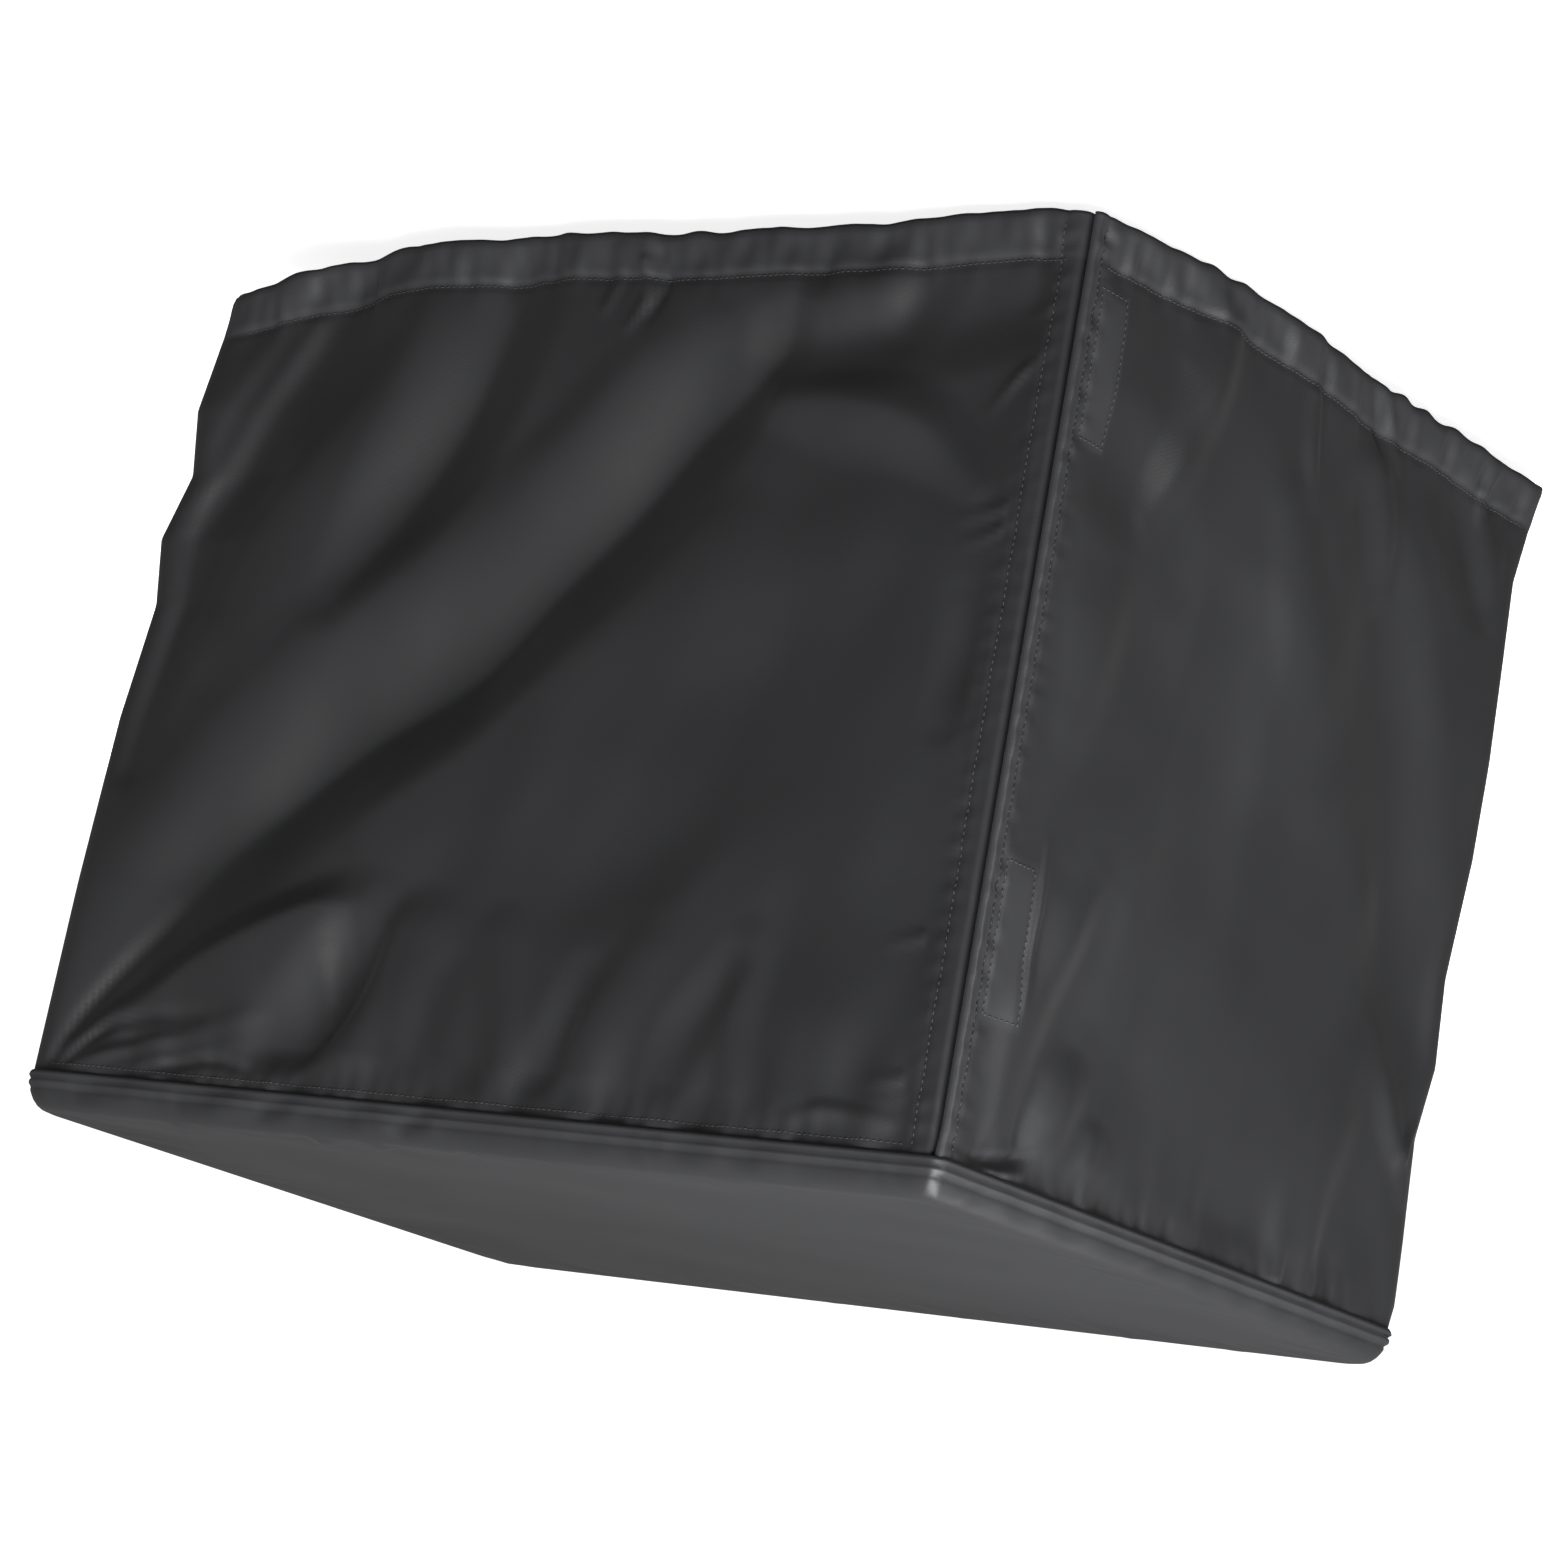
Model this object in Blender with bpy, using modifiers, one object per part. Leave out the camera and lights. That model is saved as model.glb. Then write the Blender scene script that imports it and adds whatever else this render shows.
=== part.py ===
"""Fitted cover for a portable generator: four hanging walls and a top of coated cloth, open below.

Blender 4.5, metres, +Z up. X runs along the wide walls, the front wall faces -Y and the left
wall -X. The origin is the point under the top where the covered machine holds the cover up.
"""

import math
from collections import namedtuple

import bpy
import numpy as np

# Overall sizes of the outer faces
SEAM_LENGTH = 0.681
SEAM_WIDTH = 0.456
HEM_LENGTH = 0.660
HEM_WIDTH = 0.477
SEAM_Z = -0.014
HEM_Z = -0.522
RIM_Z = 0.006
RIM_INSET = 0.0087
SAG_Z = 0.0016

# Cloth and fit
SHEET = 0.0016
GAP = 0.0003

# Corner opening between the front wall and the left wall
LAP_SETBACK = 0.0062
LAP_DEPTH = 0.052
LAP_TURN = 0.004
ROLL_RADIUS = 0.0026
ROLL_PROUD = 0.0014
ROLL_BLEND = 0.009
ROLL_CURL = math.radians(215)

# Closure tape
TAPE_THICKNESS = 0.0017
TAPE_BEND_STEPS = 6
TAPE_SETBACK = 0.008

# Corner radii at the top seam and at the hem
Corner = namedtuple("Corner", "seam hem")
NEAR_CORNER = Corner(0.006, 0.006)
FAR_CORNERS = {
    "front_right": Corner(0.026, 0.046),
    "back_left": Corner(0.026, 0.026),
    "back_right": Corner(0.026, 0.036),
}

# Slump of each far corner: height, shift along X, shift along Y
Slump = namedtuple("Slump", "z x y")
SLUMPS = {
    "front_right": (
        Slump(-0.014, 0.000, 0.000),
        Slump(-0.130, 0.000, -0.002),
        Slump(-0.230, 0.001, 0.000),
        Slump(-0.300, -0.004, 0.002),
        Slump(-0.340, 0.003, 0.000),
        Slump(-0.380, -0.007, 0.003),
        Slump(-0.420, -0.001, 0.000),
        Slump(-0.522, -0.010, 0.006),
    ),
    "back_left": (
        Slump(-0.014, 0.000, 0.000),
        Slump(-0.030, 0.000, 0.003),
        Slump(-0.068, 0.000, 0.000),
        Slump(-0.126, 0.001, -0.005),
        Slump(-0.170, 0.000, 0.002),
        Slump(-0.221, 0.001, -0.002),
        Slump(-0.294, 0.000, 0.003),
        Slump(-0.353, -0.001, 0.001),
        Slump(-0.462, 0.001, -0.004),
        Slump(-0.522, -0.002, 0.004),
    ),
    "back_right": (
        Slump(-0.014, 0.000, 0.000),
        Slump(-0.200, 0.003, 0.001),
        Slump(-0.360, -0.004, -0.003),
        Slump(-0.522, -0.006, -0.005),
    ),
}
SLUMP_REACH = 0.075

# Hem height above or below its mean: place along the wall, rise
HEM_RISE = {
    "front_wall": ((-0.331, -0.001), (-0.291, -0.003), (-0.185, 0.003), (-0.050, 0.005),
                   (0.060, 0.002), (0.169, 0.008), (0.229, 0.017), (0.292, 0.030), (0.330, 0.033)),
    "left_wall": ((-0.239, -0.001), (-0.193, -0.004), (-0.106, -0.008), (-0.083, -0.006),
                  (-0.022, -0.004), (0.030, 0.000), (0.125, -0.001), (0.175, 0.002), (0.239, 0.001)),
    "back_wall": ((-0.330, 0.001), (-0.180, -0.004), (-0.020, 0.002), (0.140, -0.003),
                  (0.330, 0.010)),
    "right_wall": ((-0.239, 0.033), (-0.150, 0.012), (0.000, -0.002), (0.120, 0.003),
                   (0.239, 0.010)),
}

# Folds: place along the wall, height, reach to each side, push outwards
Fold = namedtuple("Fold", "along z reach push")
FOLDS = {
    "front_wall": {
        "main_trough": (
            Fold(0.312, -0.024, 0.010, -0.004),
            Fold(0.246, -0.104, 0.022, -0.010),
            Fold(0.150, -0.170, 0.032, -0.014),
            Fold(0.055, -0.240, 0.036, -0.015),
            Fold(-0.022, -0.292, 0.034, -0.015),
            Fold(-0.070, -0.350, 0.028, -0.013),
            Fold(-0.096, -0.450, 0.022, -0.008),
        ),
        "main_ridge": (
            Fold(0.190, -0.082, 0.028, 0.004),
            Fold(0.080, -0.150, 0.036, 0.006),
            Fold(-0.030, -0.225, 0.036, 0.006),
            Fold(-0.100, -0.300, 0.032, 0.004),
        ),
        "lower_ridge": (
            Fold(0.270, -0.170, 0.026, 0.004),
            Fold(0.170, -0.250, 0.036, 0.008),
            Fold(0.060, -0.325, 0.034, 0.008),
            Fold(-0.020, -0.385, 0.026, 0.006),
            Fold(-0.070, -0.470, 0.018, 0.004),
        ),
        "second_trough": (
            Fold(0.165, -0.318, 0.018, -0.004),
            Fold(0.108, -0.375, 0.024, -0.010),
            Fold(0.062, -0.425, 0.022, -0.010),
            Fold(0.045, -0.500, 0.018, -0.006),
        ),
        "second_ridge": (
            Fold(0.240, -0.300, 0.030, 0.005),
            Fold(0.186, -0.370, 0.028, 0.007),
            Fold(0.150, -0.450, 0.024, 0.006),
        ),
        "end_trough": (
            Fold(0.312, -0.300, 0.014, -0.003),
            Fold(0.272, -0.375, 0.022, -0.008),
            Fold(0.220, -0.440, 0.022, -0.008),
            Fold(0.190, -0.510, 0.018, -0.006),
        ),
        "end_ridge": (
            Fold(0.300, -0.360, 0.012, 0.003),
            Fold(0.266, -0.430, 0.018, 0.008),
            Fold(0.216, -0.500, 0.018, 0.008),
        ),
        "pillow": (
            Fold(0.200, -0.050, 0.045, 0.006),
            Fold(0.130, -0.085, 0.035, 0.005),
        ),
        "pillow_edge": (
            Fold(0.124, -0.034, 0.014, -0.005),
            Fold(0.088, -0.075, 0.016, -0.007),
            Fold(0.082, -0.118, 0.014, -0.004),
        ),
        "lobe": (
            Fold(-0.270, -0.392, 0.022, 0.004),
            Fold(-0.200, -0.402, 0.022, 0.006),
            Fold(-0.140, -0.408, 0.018, 0.004),
        ),
        "lobe_trough": (
            Fold(-0.296, -0.462, 0.016, -0.003),
            Fold(-0.236, -0.440, 0.016, -0.005),
            Fold(-0.150, -0.442, 0.016, -0.005),
        ),
        "soft_hollow": (
            Fold(-0.180, -0.120, 0.055, -0.004),
            Fold(-0.170, -0.260, 0.060, -0.003),
        ),
        "soft_swell": (
            Fold(-0.060, -0.080, 0.050, 0.004),
            Fold(-0.260, -0.200, 0.045, 0.003),
        ),
    },
    "left_wall": {
        "corner_fan": (
            Fold(-0.172, -0.026, 0.008, 0.002),
            Fold(-0.154, -0.091, 0.014, 0.005),
            Fold(-0.136, -0.170, 0.014, 0.002),
        ),
        "corner_fan_trough": (
            Fold(-0.150, -0.026, 0.008, -0.002),
            Fold(-0.122, -0.090, 0.016, -0.004),
            Fold(-0.110, -0.160, 0.016, -0.002),
        ),
        "long_trough": (
            Fold(-0.150, -0.180, 0.024, -0.003),
            Fold(-0.110, -0.300, 0.028, -0.006),
            Fold(-0.096, -0.400, 0.022, -0.006),
            Fold(-0.098, -0.490, 0.016, -0.004),
        ),
        "low_ridge": (
            Fold(-0.140, -0.300, 0.020, 0.003),
            Fold(-0.124, -0.410, 0.014, 0.005),
            Fold(-0.130, -0.480, 0.014, 0.003),
        ),
        "belly": (
            Fold(-0.090, -0.500, 0.090, 0.008),
            Fold(0.000, -0.420, 0.090, 0.006),
        ),
        "far_ridge": (
            Fold(0.080, -0.330, 0.018, 0.002),
            Fold(0.073, -0.424, 0.018, 0.005),
            Fold(0.050, -0.495, 0.016, 0.003),
        ),
        "far_hollow": (
            Fold(0.150, -0.090, 0.045, -0.003),
            Fold(0.120, -0.250, 0.050, -0.004),
            Fold(0.130, -0.400, 0.035, -0.003),
        ),
        "edge_tuck": (
            Fold(0.212, -0.112, 0.010, 0.004),
            Fold(0.196, -0.132, 0.010, 0.003),
        ),
    },
    "back_wall": {
        "left_drape": (
            Fold(-0.250, -0.060, 0.030, -0.004),
            Fold(-0.180, -0.250, 0.040, -0.008),
            Fold(-0.190, -0.480, 0.030, -0.006),
        ),
        "middle_swell": (
            Fold(-0.040, -0.150, 0.080, 0.004),
            Fold(0.020, -0.400, 0.070, 0.006),
        ),
        "right_drape": (
            Fold(0.270, -0.050, 0.024, -0.004),
            Fold(0.160, -0.260, 0.040, -0.009),
            Fold(0.130, -0.480, 0.030, -0.006),
        ),
    },
    "right_wall": {
        "near_drape": (
            Fold(-0.150, -0.060, 0.026, -0.003),
            Fold(-0.090, -0.280, 0.036, -0.007),
            Fold(-0.100, -0.480, 0.028, -0.006),
        ),
        "far_swell": (
            Fold(0.070, -0.180, 0.060, 0.004),
            Fold(0.090, -0.420, 0.050, 0.006),
        ),
    },
}
FOLD_STEPS = 8

# Folds fade out over these distances to the top seam and to a corner seam, and leave this share
# of a corner's radius alone. Another share of it slumps with the corner as a whole.
SEAM_FADE = 0.022
CORNER_FADE = 0.030
CORNER_HELD = 0.25
SLUMP_HELD = 0.3

# Rows of every wall as shares of its height: close under the seam, then even down to the hem
SEAM_ROWS = (0.0, 0.012, 0.04)
EVEN_ROWS_FROM = 0.08
EVEN_ROWS = 18
ROW_SHARES = SEAM_ROWS + tuple(np.linspace(EVEN_ROWS_FROM, 1.0, EVEN_ROWS))

# Mesh steps of each wall along its straight part and round a rounded corner
Steps = namedtuple("Steps", "along corner")
WALL_STEPS = {
    "front_wall": Steps(40, 4),
    "left_wall": Steps(24, 4),
    "back_wall": Steps(20, 3),
    "right_wall": Steps(14, 3),
}
LAP_STEPS = 4
TURN_STEPS = 3
ROLL_STEPS = 5
ROLL_BLEND_STEPS = 2

# The two corners that each wall runs between, from its low end to its high end
WALL_CORNERS = {
    "front_wall": ("near", "front_right"),
    "left_wall": ("near", "back_left"),
    "back_wall": ("back_left", "back_right"),
    "right_wall": ("front_right", "back_right"),
}

# Top panel: inset from the seam outline and height, from its edge inwards
Ring = namedtuple("Ring", "inset z")
TOP_RINGS = (
    Ring(0.0000, SEAM_Z),
    Ring(0.0000, SEAM_Z + 0.006),
    Ring(0.0022, SEAM_Z + 0.013),
    Ring(0.0050, RIM_Z - 0.0022),
    Ring(RIM_INSET, RIM_Z),
    Ring(0.018, RIM_Z - 0.0004),
    Ring(0.045, 0.0044),
    Ring(0.090, 0.0030),
    Ring(0.140, 0.0020),
    Ring(0.190, SAG_Z),
)
TOP_LONG_STEPS = 20
TOP_SHORT_STEPS = 14
TOP_CORNER_STEPS = 4
INNER_RING_ROUNDING = 0.03

# Puckers in the top panel's margin, along the front edge: place along X, reach, push outwards
Pucker = namedtuple("Pucker", "along reach push")
MARGIN_PUCKERS = (
    Pucker(-0.060, 0.030, 0.0008),
    Pucker(0.020, 0.014, -0.0010),
    Pucker(0.070, 0.020, 0.0014),
    Pucker(0.120, 0.014, -0.0012),
    Pucker(0.180, 0.024, 0.0016),
    Pucker(0.250, 0.020, -0.0010),
)

CLOTH_COLOUR = (0.032, 0.033, 0.036, 1.0)
CLOTH_ROUGHNESS = 0.42
TAPE_COLOUR = (0.018, 0.018, 0.019, 1.0)
TAPE_ROUGHNESS = 0.9

# Each pair of closure tapes: heights of its top and bottom edges, and its width
Tape = namedtuple("Tape", "name top bottom width")
TAPES = (
    Tape("upper", -0.092, -0.178, 0.038),
    Tape("lower", -0.400, -0.490, 0.032),
)


def clear_scene():
    for obj in list(bpy.data.objects):
        bpy.data.objects.remove(obj)


def blend(low, high, share):
    return low + (high - low) * share


def smooth(share):
    share = min(max(share, 0.0), 1.0)
    return share * share * (3.0 - 2.0 * share)


def curve_through(rows, steps):
    """Points of a smooth curve through the rows, every column carried along it."""
    rows = np.array(rows, float)
    padded = np.vstack([2 * rows[0] - rows[1], rows, 2 * rows[-1] - rows[-2]])
    points = []
    for i in range(1, len(padded) - 2):
        a, b, c, d = padded[i - 1:i + 3]
        for share in np.linspace(0.0, 1.0, steps, endpoint=False):
            points.append(0.5 * (2 * b + (c - a) * share + (2 * a - 5 * b + 4 * c - d) * share**2
                                 + (3 * b - a - 3 * c + d) * share**3))
    points.append(rows[-1])
    return np.array(points)


def fold_curves():
    return {wall: [curve_through(rows, FOLD_STEPS) for rows in folds.values()]
            for wall, folds in FOLDS.items()}


FOLD_CURVES = fold_curves()


def fold_push(wall, along, z):
    """How far the folds push this point of the wall outwards."""
    total = 0.0
    for curve in FOLD_CURVES[wall]:
        start, end = curve[:-1], curve[1:]
        step = end[:, :2] - start[:, :2]
        offset = np.array([along, z]) - start[:, :2]
        share = np.clip((offset * step).sum(1) / (step * step).sum(1), 0.0, 1.0)
        distance = np.hypot(*(offset - step * share[:, None]).T)
        nearest = int(distance.argmin())
        here = blend(start[nearest], end[nearest], share[nearest])
        total += here[3] * math.exp(-(distance[nearest] / here[2]) ** 2)
    return total


def slump_at(corner, z):
    """Shift of a corner at this height; the near corner is held straight by its opening."""
    if corner == "near":
        return 0.0, 0.0
    rows = SLUMPS[corner]
    heights = [-row.z for row in rows]
    return (float(np.interp(-z, heights, [row.x for row in rows])),
            float(np.interp(-z, heights, [row.y for row in rows])))


def hem_height(wall, along):
    places, rises = zip(*HEM_RISE[wall])
    return HEM_Z + float(np.interp(along, places, rises))


def corner_radius(corner, share):
    radii = NEAR_CORNER if corner == "near" else FAR_CORNERS[corner]
    return blend(radii.seam, radii.hem, share)


def wall_halves(wall, share):
    """Half of the wall's own length, and its distance from the middle of the cover."""
    length = blend(SEAM_LENGTH, HEM_LENGTH, share) / 2
    width = blend(SEAM_WIDTH, HEM_WIDTH, share) / 2
    return (length, width) if wall in ("front_wall", "back_wall") else (width, length)


def rounded_end(reach, out, radius, steps, side):
    """Half of a rounded corner, from the straight part to the corner seam.

    Each wall stops short of the seam by half the gap, and by as much again as the inner face of
    its last step leans towards the other wall.
    """
    half_turn = math.pi / 4
    lean = SHEET * math.sin(half_turn / steps / 2)
    stop = half_turn - (GAP / 2 + lean) / radius
    rows = []
    for i in range(1, steps + 1):
        angle = stop * i / steps
        rows.append((side * (reach - radius + radius * math.sin(angle)),
                     out - radius + radius * math.cos(angle),
                     side * math.sin(angle), math.cos(angle)))
    return rows


def lap_end(reach, out):
    """The front wall's edge turned in behind the left wall, from its free edge outwards."""
    face = -reach + LAP_SETBACK
    rows = [(face, out - LAP_TURN - (LAP_DEPTH - LAP_TURN) * (1 - i / LAP_STEPS), -1.0, 0.0)
            for i in range(LAP_STEPS)]
    for i in range(TURN_STEPS):
        angle = math.pi / 2 * (1 - i / TURN_STEPS)
        rows.append((face + LAP_TURN - LAP_TURN * math.sin(angle),
                     out - LAP_TURN + LAP_TURN * math.cos(angle),
                     -math.sin(angle), math.cos(angle)))
    return rows, face + LAP_TURN


def rolled_end(reach, out):
    """The left wall's rolled edge, from its curled-in end outwards."""
    middle_along = -reach + ROLL_RADIUS
    middle_out = out + ROLL_PROUD - ROLL_RADIUS
    rows = []
    for i in range(ROLL_STEPS + 1):
        angle = blend(ROLL_CURL, math.pi / 2, i / ROLL_STEPS)
        rows.append((middle_along + ROLL_RADIUS * math.cos(angle),
                     middle_out + ROLL_RADIUS * math.sin(angle),
                     math.cos(angle), math.sin(angle)))
    for i in range(1, ROLL_BLEND_STEPS + 1):
        share = i / (ROLL_BLEND_STEPS + 1)
        rows.append((middle_along + ROLL_BLEND * share, out + ROLL_PROUD * (1 - smooth(share)),
                     0.0, 1.0))
    return rows, middle_along + ROLL_BLEND


def wall_section(wall, share):
    """One level line of a wall: along, out, and the outward direction, from end to end."""
    reach, out = wall_halves(wall, share)
    low, high = WALL_CORNERS[wall]
    steps = WALL_STEPS[wall]
    if wall == "front_wall":
        first, start = lap_end(reach, out)
    elif wall == "left_wall":
        first, start = rolled_end(reach, out)
    else:
        radius = corner_radius(low, share)
        first = rounded_end(reach, out, radius, steps.corner, -1)[::-1]
        start = -reach + radius
    radius = corner_radius(high, share)
    stop = reach - radius
    straight = [(blend(start, stop, i / steps.along), out, 0.0, 1.0)
                for i in range(steps.along + 1)]
    return first + straight + rounded_end(reach, out, radius, steps.corner, 1)


def hung_point(wall, row, share):
    """A point of the wall's outer face, hung with its folds and its slumped corners."""
    along, out, along_face, out_face = row
    reach, _ = wall_halves(wall, share)
    z = blend(SEAM_Z - GAP, hem_height(wall, along), share)
    low, high = WALL_CORNERS[wall]
    held_drop = SEAM_ROWS[1] * (SEAM_Z - HEM_Z)
    fade = smooth((SEAM_Z - z - held_drop) / SEAM_FADE)
    for side, corner in ((-1, low), (1, high)):
        held = ROLL_BLEND if corner == "near" else CORNER_HELD * corner_radius(corner, share)
        fade *= smooth((reach - side * along - held) / CORNER_FADE)
    push = fade * fold_push(wall, along, z)
    point = [along + push * along_face, out + push * out_face]
    x, y = to_plan(wall, *point)
    for side, corner in ((-1, low), (1, high)):
        shift_x, shift_y = slump_at(corner, z)
        beyond = max(reach - side * along - SLUMP_HELD * corner_radius(corner, share), 0.0)
        weight = math.exp(-(beyond / SLUMP_REACH) ** 2)
        x += weight * shift_x
        y += weight * shift_y
    return x, y, z


def to_plan(wall, along, out):
    """World X and Y of a place along a wall and out from the middle."""
    return {
        "front_wall": (along, -out),
        "left_wall": (-out, along),
        "back_wall": (along, out),
        "right_wall": (out, along),
    }[wall]


def sheet_object(name, points, faces, material, collection):
    """An outer face thickened inwards to the cloth's real thickness."""
    mesh = bpy.data.meshes.new(name)
    mesh.from_pydata(points, [], faces)
    mesh.polygons.foreach_set("use_smooth", [True] * len(mesh.polygons))
    mesh.materials.append(material)
    obj = bpy.data.objects.new(name, mesh)
    collection.objects.link(obj)
    thicken = obj.modifiers.new("cloth thickness", "SOLIDIFY")
    thicken.thickness = SHEET
    thicken.offset = -1.0
    thicken.use_even_offset = True
    return obj


def grid_faces(columns, rows, flip):
    faces = []
    for column in range(columns - 1):
        for row in range(rows - 1):
            a = column * rows + row
            face = (a + 1, a + rows + 1, a + rows, a)
            faces.append(face[::-1] if flip else face)
    return faces


def build_wall(wall, material, collection):
    levels = [wall_section(wall, share) for share in ROW_SHARES]
    columns = len(levels[0])
    points = [hung_point(wall, level[column], share)
              for column in range(columns) for level, share in zip(levels, ROW_SHARES)]
    flip = wall in ("left_wall", "back_wall")
    faces = grid_faces(columns, len(ROW_SHARES), flip)
    return sheet_object(wall, points, faces, material, collection)


def outline(inset):
    """The cover's plan outline, drawn in by inset, anticlockwise from the near corner's front."""
    half_x = SEAM_LENGTH / 2 - inset
    half_y = SEAM_WIDTH / 2 - inset
    radii = [corner_radius(name, 0.0) + INNER_RING_ROUNDING * inset
             for name in ("near", "front_right", "back_right", "back_left")]
    signs = ((-1, -1), (1, -1), (1, 1), (-1, 1))
    points = []
    for i in range(4):
        (sx, sy), radius = signs[i], radii[i]
        turn = math.pi + i * math.pi / 2
        for step in range(TOP_CORNER_STEPS + 1):
            angle = turn + math.pi / 2 * step / TOP_CORNER_STEPS
            points.append((sx * (half_x - radius) + radius * math.cos(angle),
                           sy * (half_y - radius) + radius * math.sin(angle)))
        (nx, ny), next_radius = signs[(i + 1) % 4], radii[(i + 1) % 4]
        start = points[-1]
        angle = turn + math.pi / 2
        stop = (nx * (half_x - next_radius) + next_radius * math.cos(angle),
                ny * (half_y - next_radius) + next_radius * math.sin(angle))
        steps = TOP_LONG_STEPS if i % 2 == 0 else TOP_SHORT_STEPS
        for step in range(1, steps):
            share = step / steps
            points.append((blend(start[0], stop[0], share), blend(start[1], stop[1], share)))
    return points


def margin_push(x, y, height):
    """Puckers of the margin along the front edge, strongest halfway down it."""
    if y > -SEAM_WIDTH / 2 + 2 * RIM_INSET:
        return 0.0
    middle = (SEAM_Z + RIM_Z) / 2
    fade = max(0.0, 1.0 - abs(height - middle) / ((RIM_Z - SEAM_Z) / 2))
    return fade * sum(row.push * math.exp(-((x - row.along) / row.reach) ** 2)
                      for row in MARGIN_PUCKERS)


def build_top(material, collection):
    points = []
    for ring in TOP_RINGS:
        for x, y in outline(ring.inset):
            points.append((x, y - margin_push(x, y, ring.z), ring.z))
    around = len(points) // len(TOP_RINGS)
    faces = []
    for ring in range(len(TOP_RINGS) - 1):
        for i in range(around):
            a = ring * around + i
            b = ring * around + (i + 1) % around
            faces.append((a, b, b + around, a + around))
    last = (len(TOP_RINGS) - 1) * around
    faces.append(tuple(range(last, last + around)))
    return sheet_object("top_panel", points, faces, material, collection)


def build_tape(name, tape, out_offset, start, material, collection):
    """A flat strip of tape in the plane of the left wall's edge, its outer face at out_offset."""
    points = []
    for row in range(TAPE_BEND_STEPS + 1):
        z = blend(tape.top, tape.bottom, row / TAPE_BEND_STEPS)
        share = (SEAM_Z - z) / (SEAM_Z - HEM_Z)
        reach, out = wall_halves("left_wall", share)
        for along in (-reach + start, -reach + start + tape.width):
            for depth in (out_offset, out_offset + TAPE_THICKNESS):
                points.append((-(out - depth), along, z))
    faces = []
    for row in range(TAPE_BEND_STEPS):
        a = row * 4
        b = a + 4
        faces.append((a, a + 2, b + 2, b))
        faces.append((a + 3, a + 1, b + 1, b + 3))
        faces.append((a + 1, a, b, b + 1))
        faces.append((a + 2, a + 3, b + 3, b + 2))
    faces.append((0, 1, 3, 2))
    top = TAPE_BEND_STEPS * 4
    faces.append((top, top + 2, top + 3, top + 1))
    mesh = bpy.data.meshes.new(name)
    mesh.from_pydata(points, [], faces)
    mesh.materials.append(material)
    obj = bpy.data.objects.new(name, mesh)
    collection.objects.link(obj)
    return obj


def make_material(name, colour, roughness):
    material = bpy.data.materials.new(name)
    material.use_nodes = True
    shader = material.node_tree.nodes["Principled BSDF"]
    shader.inputs["Base Color"].default_value = colour
    shader.inputs["Roughness"].default_value = roughness
    shader.inputs["Metallic"].default_value = 0.0
    return material


def main():
    clear_scene()
    collection = bpy.data.collections.new("generator_cover")
    bpy.context.scene.collection.children.link(collection)
    for wall in WALL_STEPS:
        build_wall(wall, make_material(wall + "_cloth", CLOTH_COLOUR, CLOTH_ROUGHNESS), collection)
    build_top(make_material("top_panel_cloth", CLOTH_COLOUR, CLOTH_ROUGHNESS), collection)
    hook_face = SHEET + GAP
    loop_face = LAP_SETBACK - GAP - TAPE_THICKNESS
    for tape in TAPES:
        for kind, face in (("hook", hook_face), ("loop", loop_face)):
            name = kind + "_tape_" + tape.name
            build_tape(name, tape, face, TAPE_SETBACK,
                       make_material(name, TAPE_COLOUR, TAPE_ROUGHNESS), collection)


main()
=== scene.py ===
"""Looks of the fitted generator cover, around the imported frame. Blender 4.5, metres, +Z up.

The photograph shows the cover upside down, so the cover hangs upright here, with its open hem
below, and the camera is rolled to see it as the photograph does.
"""

import math
from collections import namedtuple

import bpy
import numpy as np
from mathutils import Matrix, Vector
from mathutils.bvhtree import BVHTree


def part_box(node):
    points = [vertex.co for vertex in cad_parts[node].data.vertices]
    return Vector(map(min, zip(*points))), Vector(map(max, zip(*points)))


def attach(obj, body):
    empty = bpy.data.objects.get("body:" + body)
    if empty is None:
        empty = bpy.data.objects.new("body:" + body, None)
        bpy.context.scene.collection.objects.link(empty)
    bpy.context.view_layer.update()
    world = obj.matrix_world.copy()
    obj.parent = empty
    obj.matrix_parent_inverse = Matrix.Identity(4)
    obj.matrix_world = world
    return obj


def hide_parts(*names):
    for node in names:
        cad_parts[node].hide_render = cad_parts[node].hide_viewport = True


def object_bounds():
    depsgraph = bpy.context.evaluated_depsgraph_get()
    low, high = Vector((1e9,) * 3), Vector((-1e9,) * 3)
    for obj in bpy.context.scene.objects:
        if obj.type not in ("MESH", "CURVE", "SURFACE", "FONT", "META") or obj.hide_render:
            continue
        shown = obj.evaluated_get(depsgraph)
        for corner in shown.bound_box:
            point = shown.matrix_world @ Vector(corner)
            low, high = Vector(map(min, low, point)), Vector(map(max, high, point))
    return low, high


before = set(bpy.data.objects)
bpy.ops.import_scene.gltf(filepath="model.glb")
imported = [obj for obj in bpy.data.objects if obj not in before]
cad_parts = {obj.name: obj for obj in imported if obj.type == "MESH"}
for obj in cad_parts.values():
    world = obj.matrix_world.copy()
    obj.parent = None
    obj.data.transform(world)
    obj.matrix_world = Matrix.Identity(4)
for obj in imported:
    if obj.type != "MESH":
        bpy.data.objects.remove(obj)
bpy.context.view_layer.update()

# Sizes that the frame gives
top_low, top_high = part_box("top_panel")
SEAM_LENGTH = 2 * top_high[0]
SEAM_WIDTH = 2 * top_high[1]
RIM_Z = top_high[2]

# Sizes that the walls' boxes hide behind their folds
HEM_LENGTH = 0.660
HEM_WIDTH = 0.477
SEAM_Z = -0.014
HEM_Z = -0.522
RIM_INSET = 0.0087
SAG_Z = 0.0016
SHEET = 0.0012
GAP = 0.00003

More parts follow.
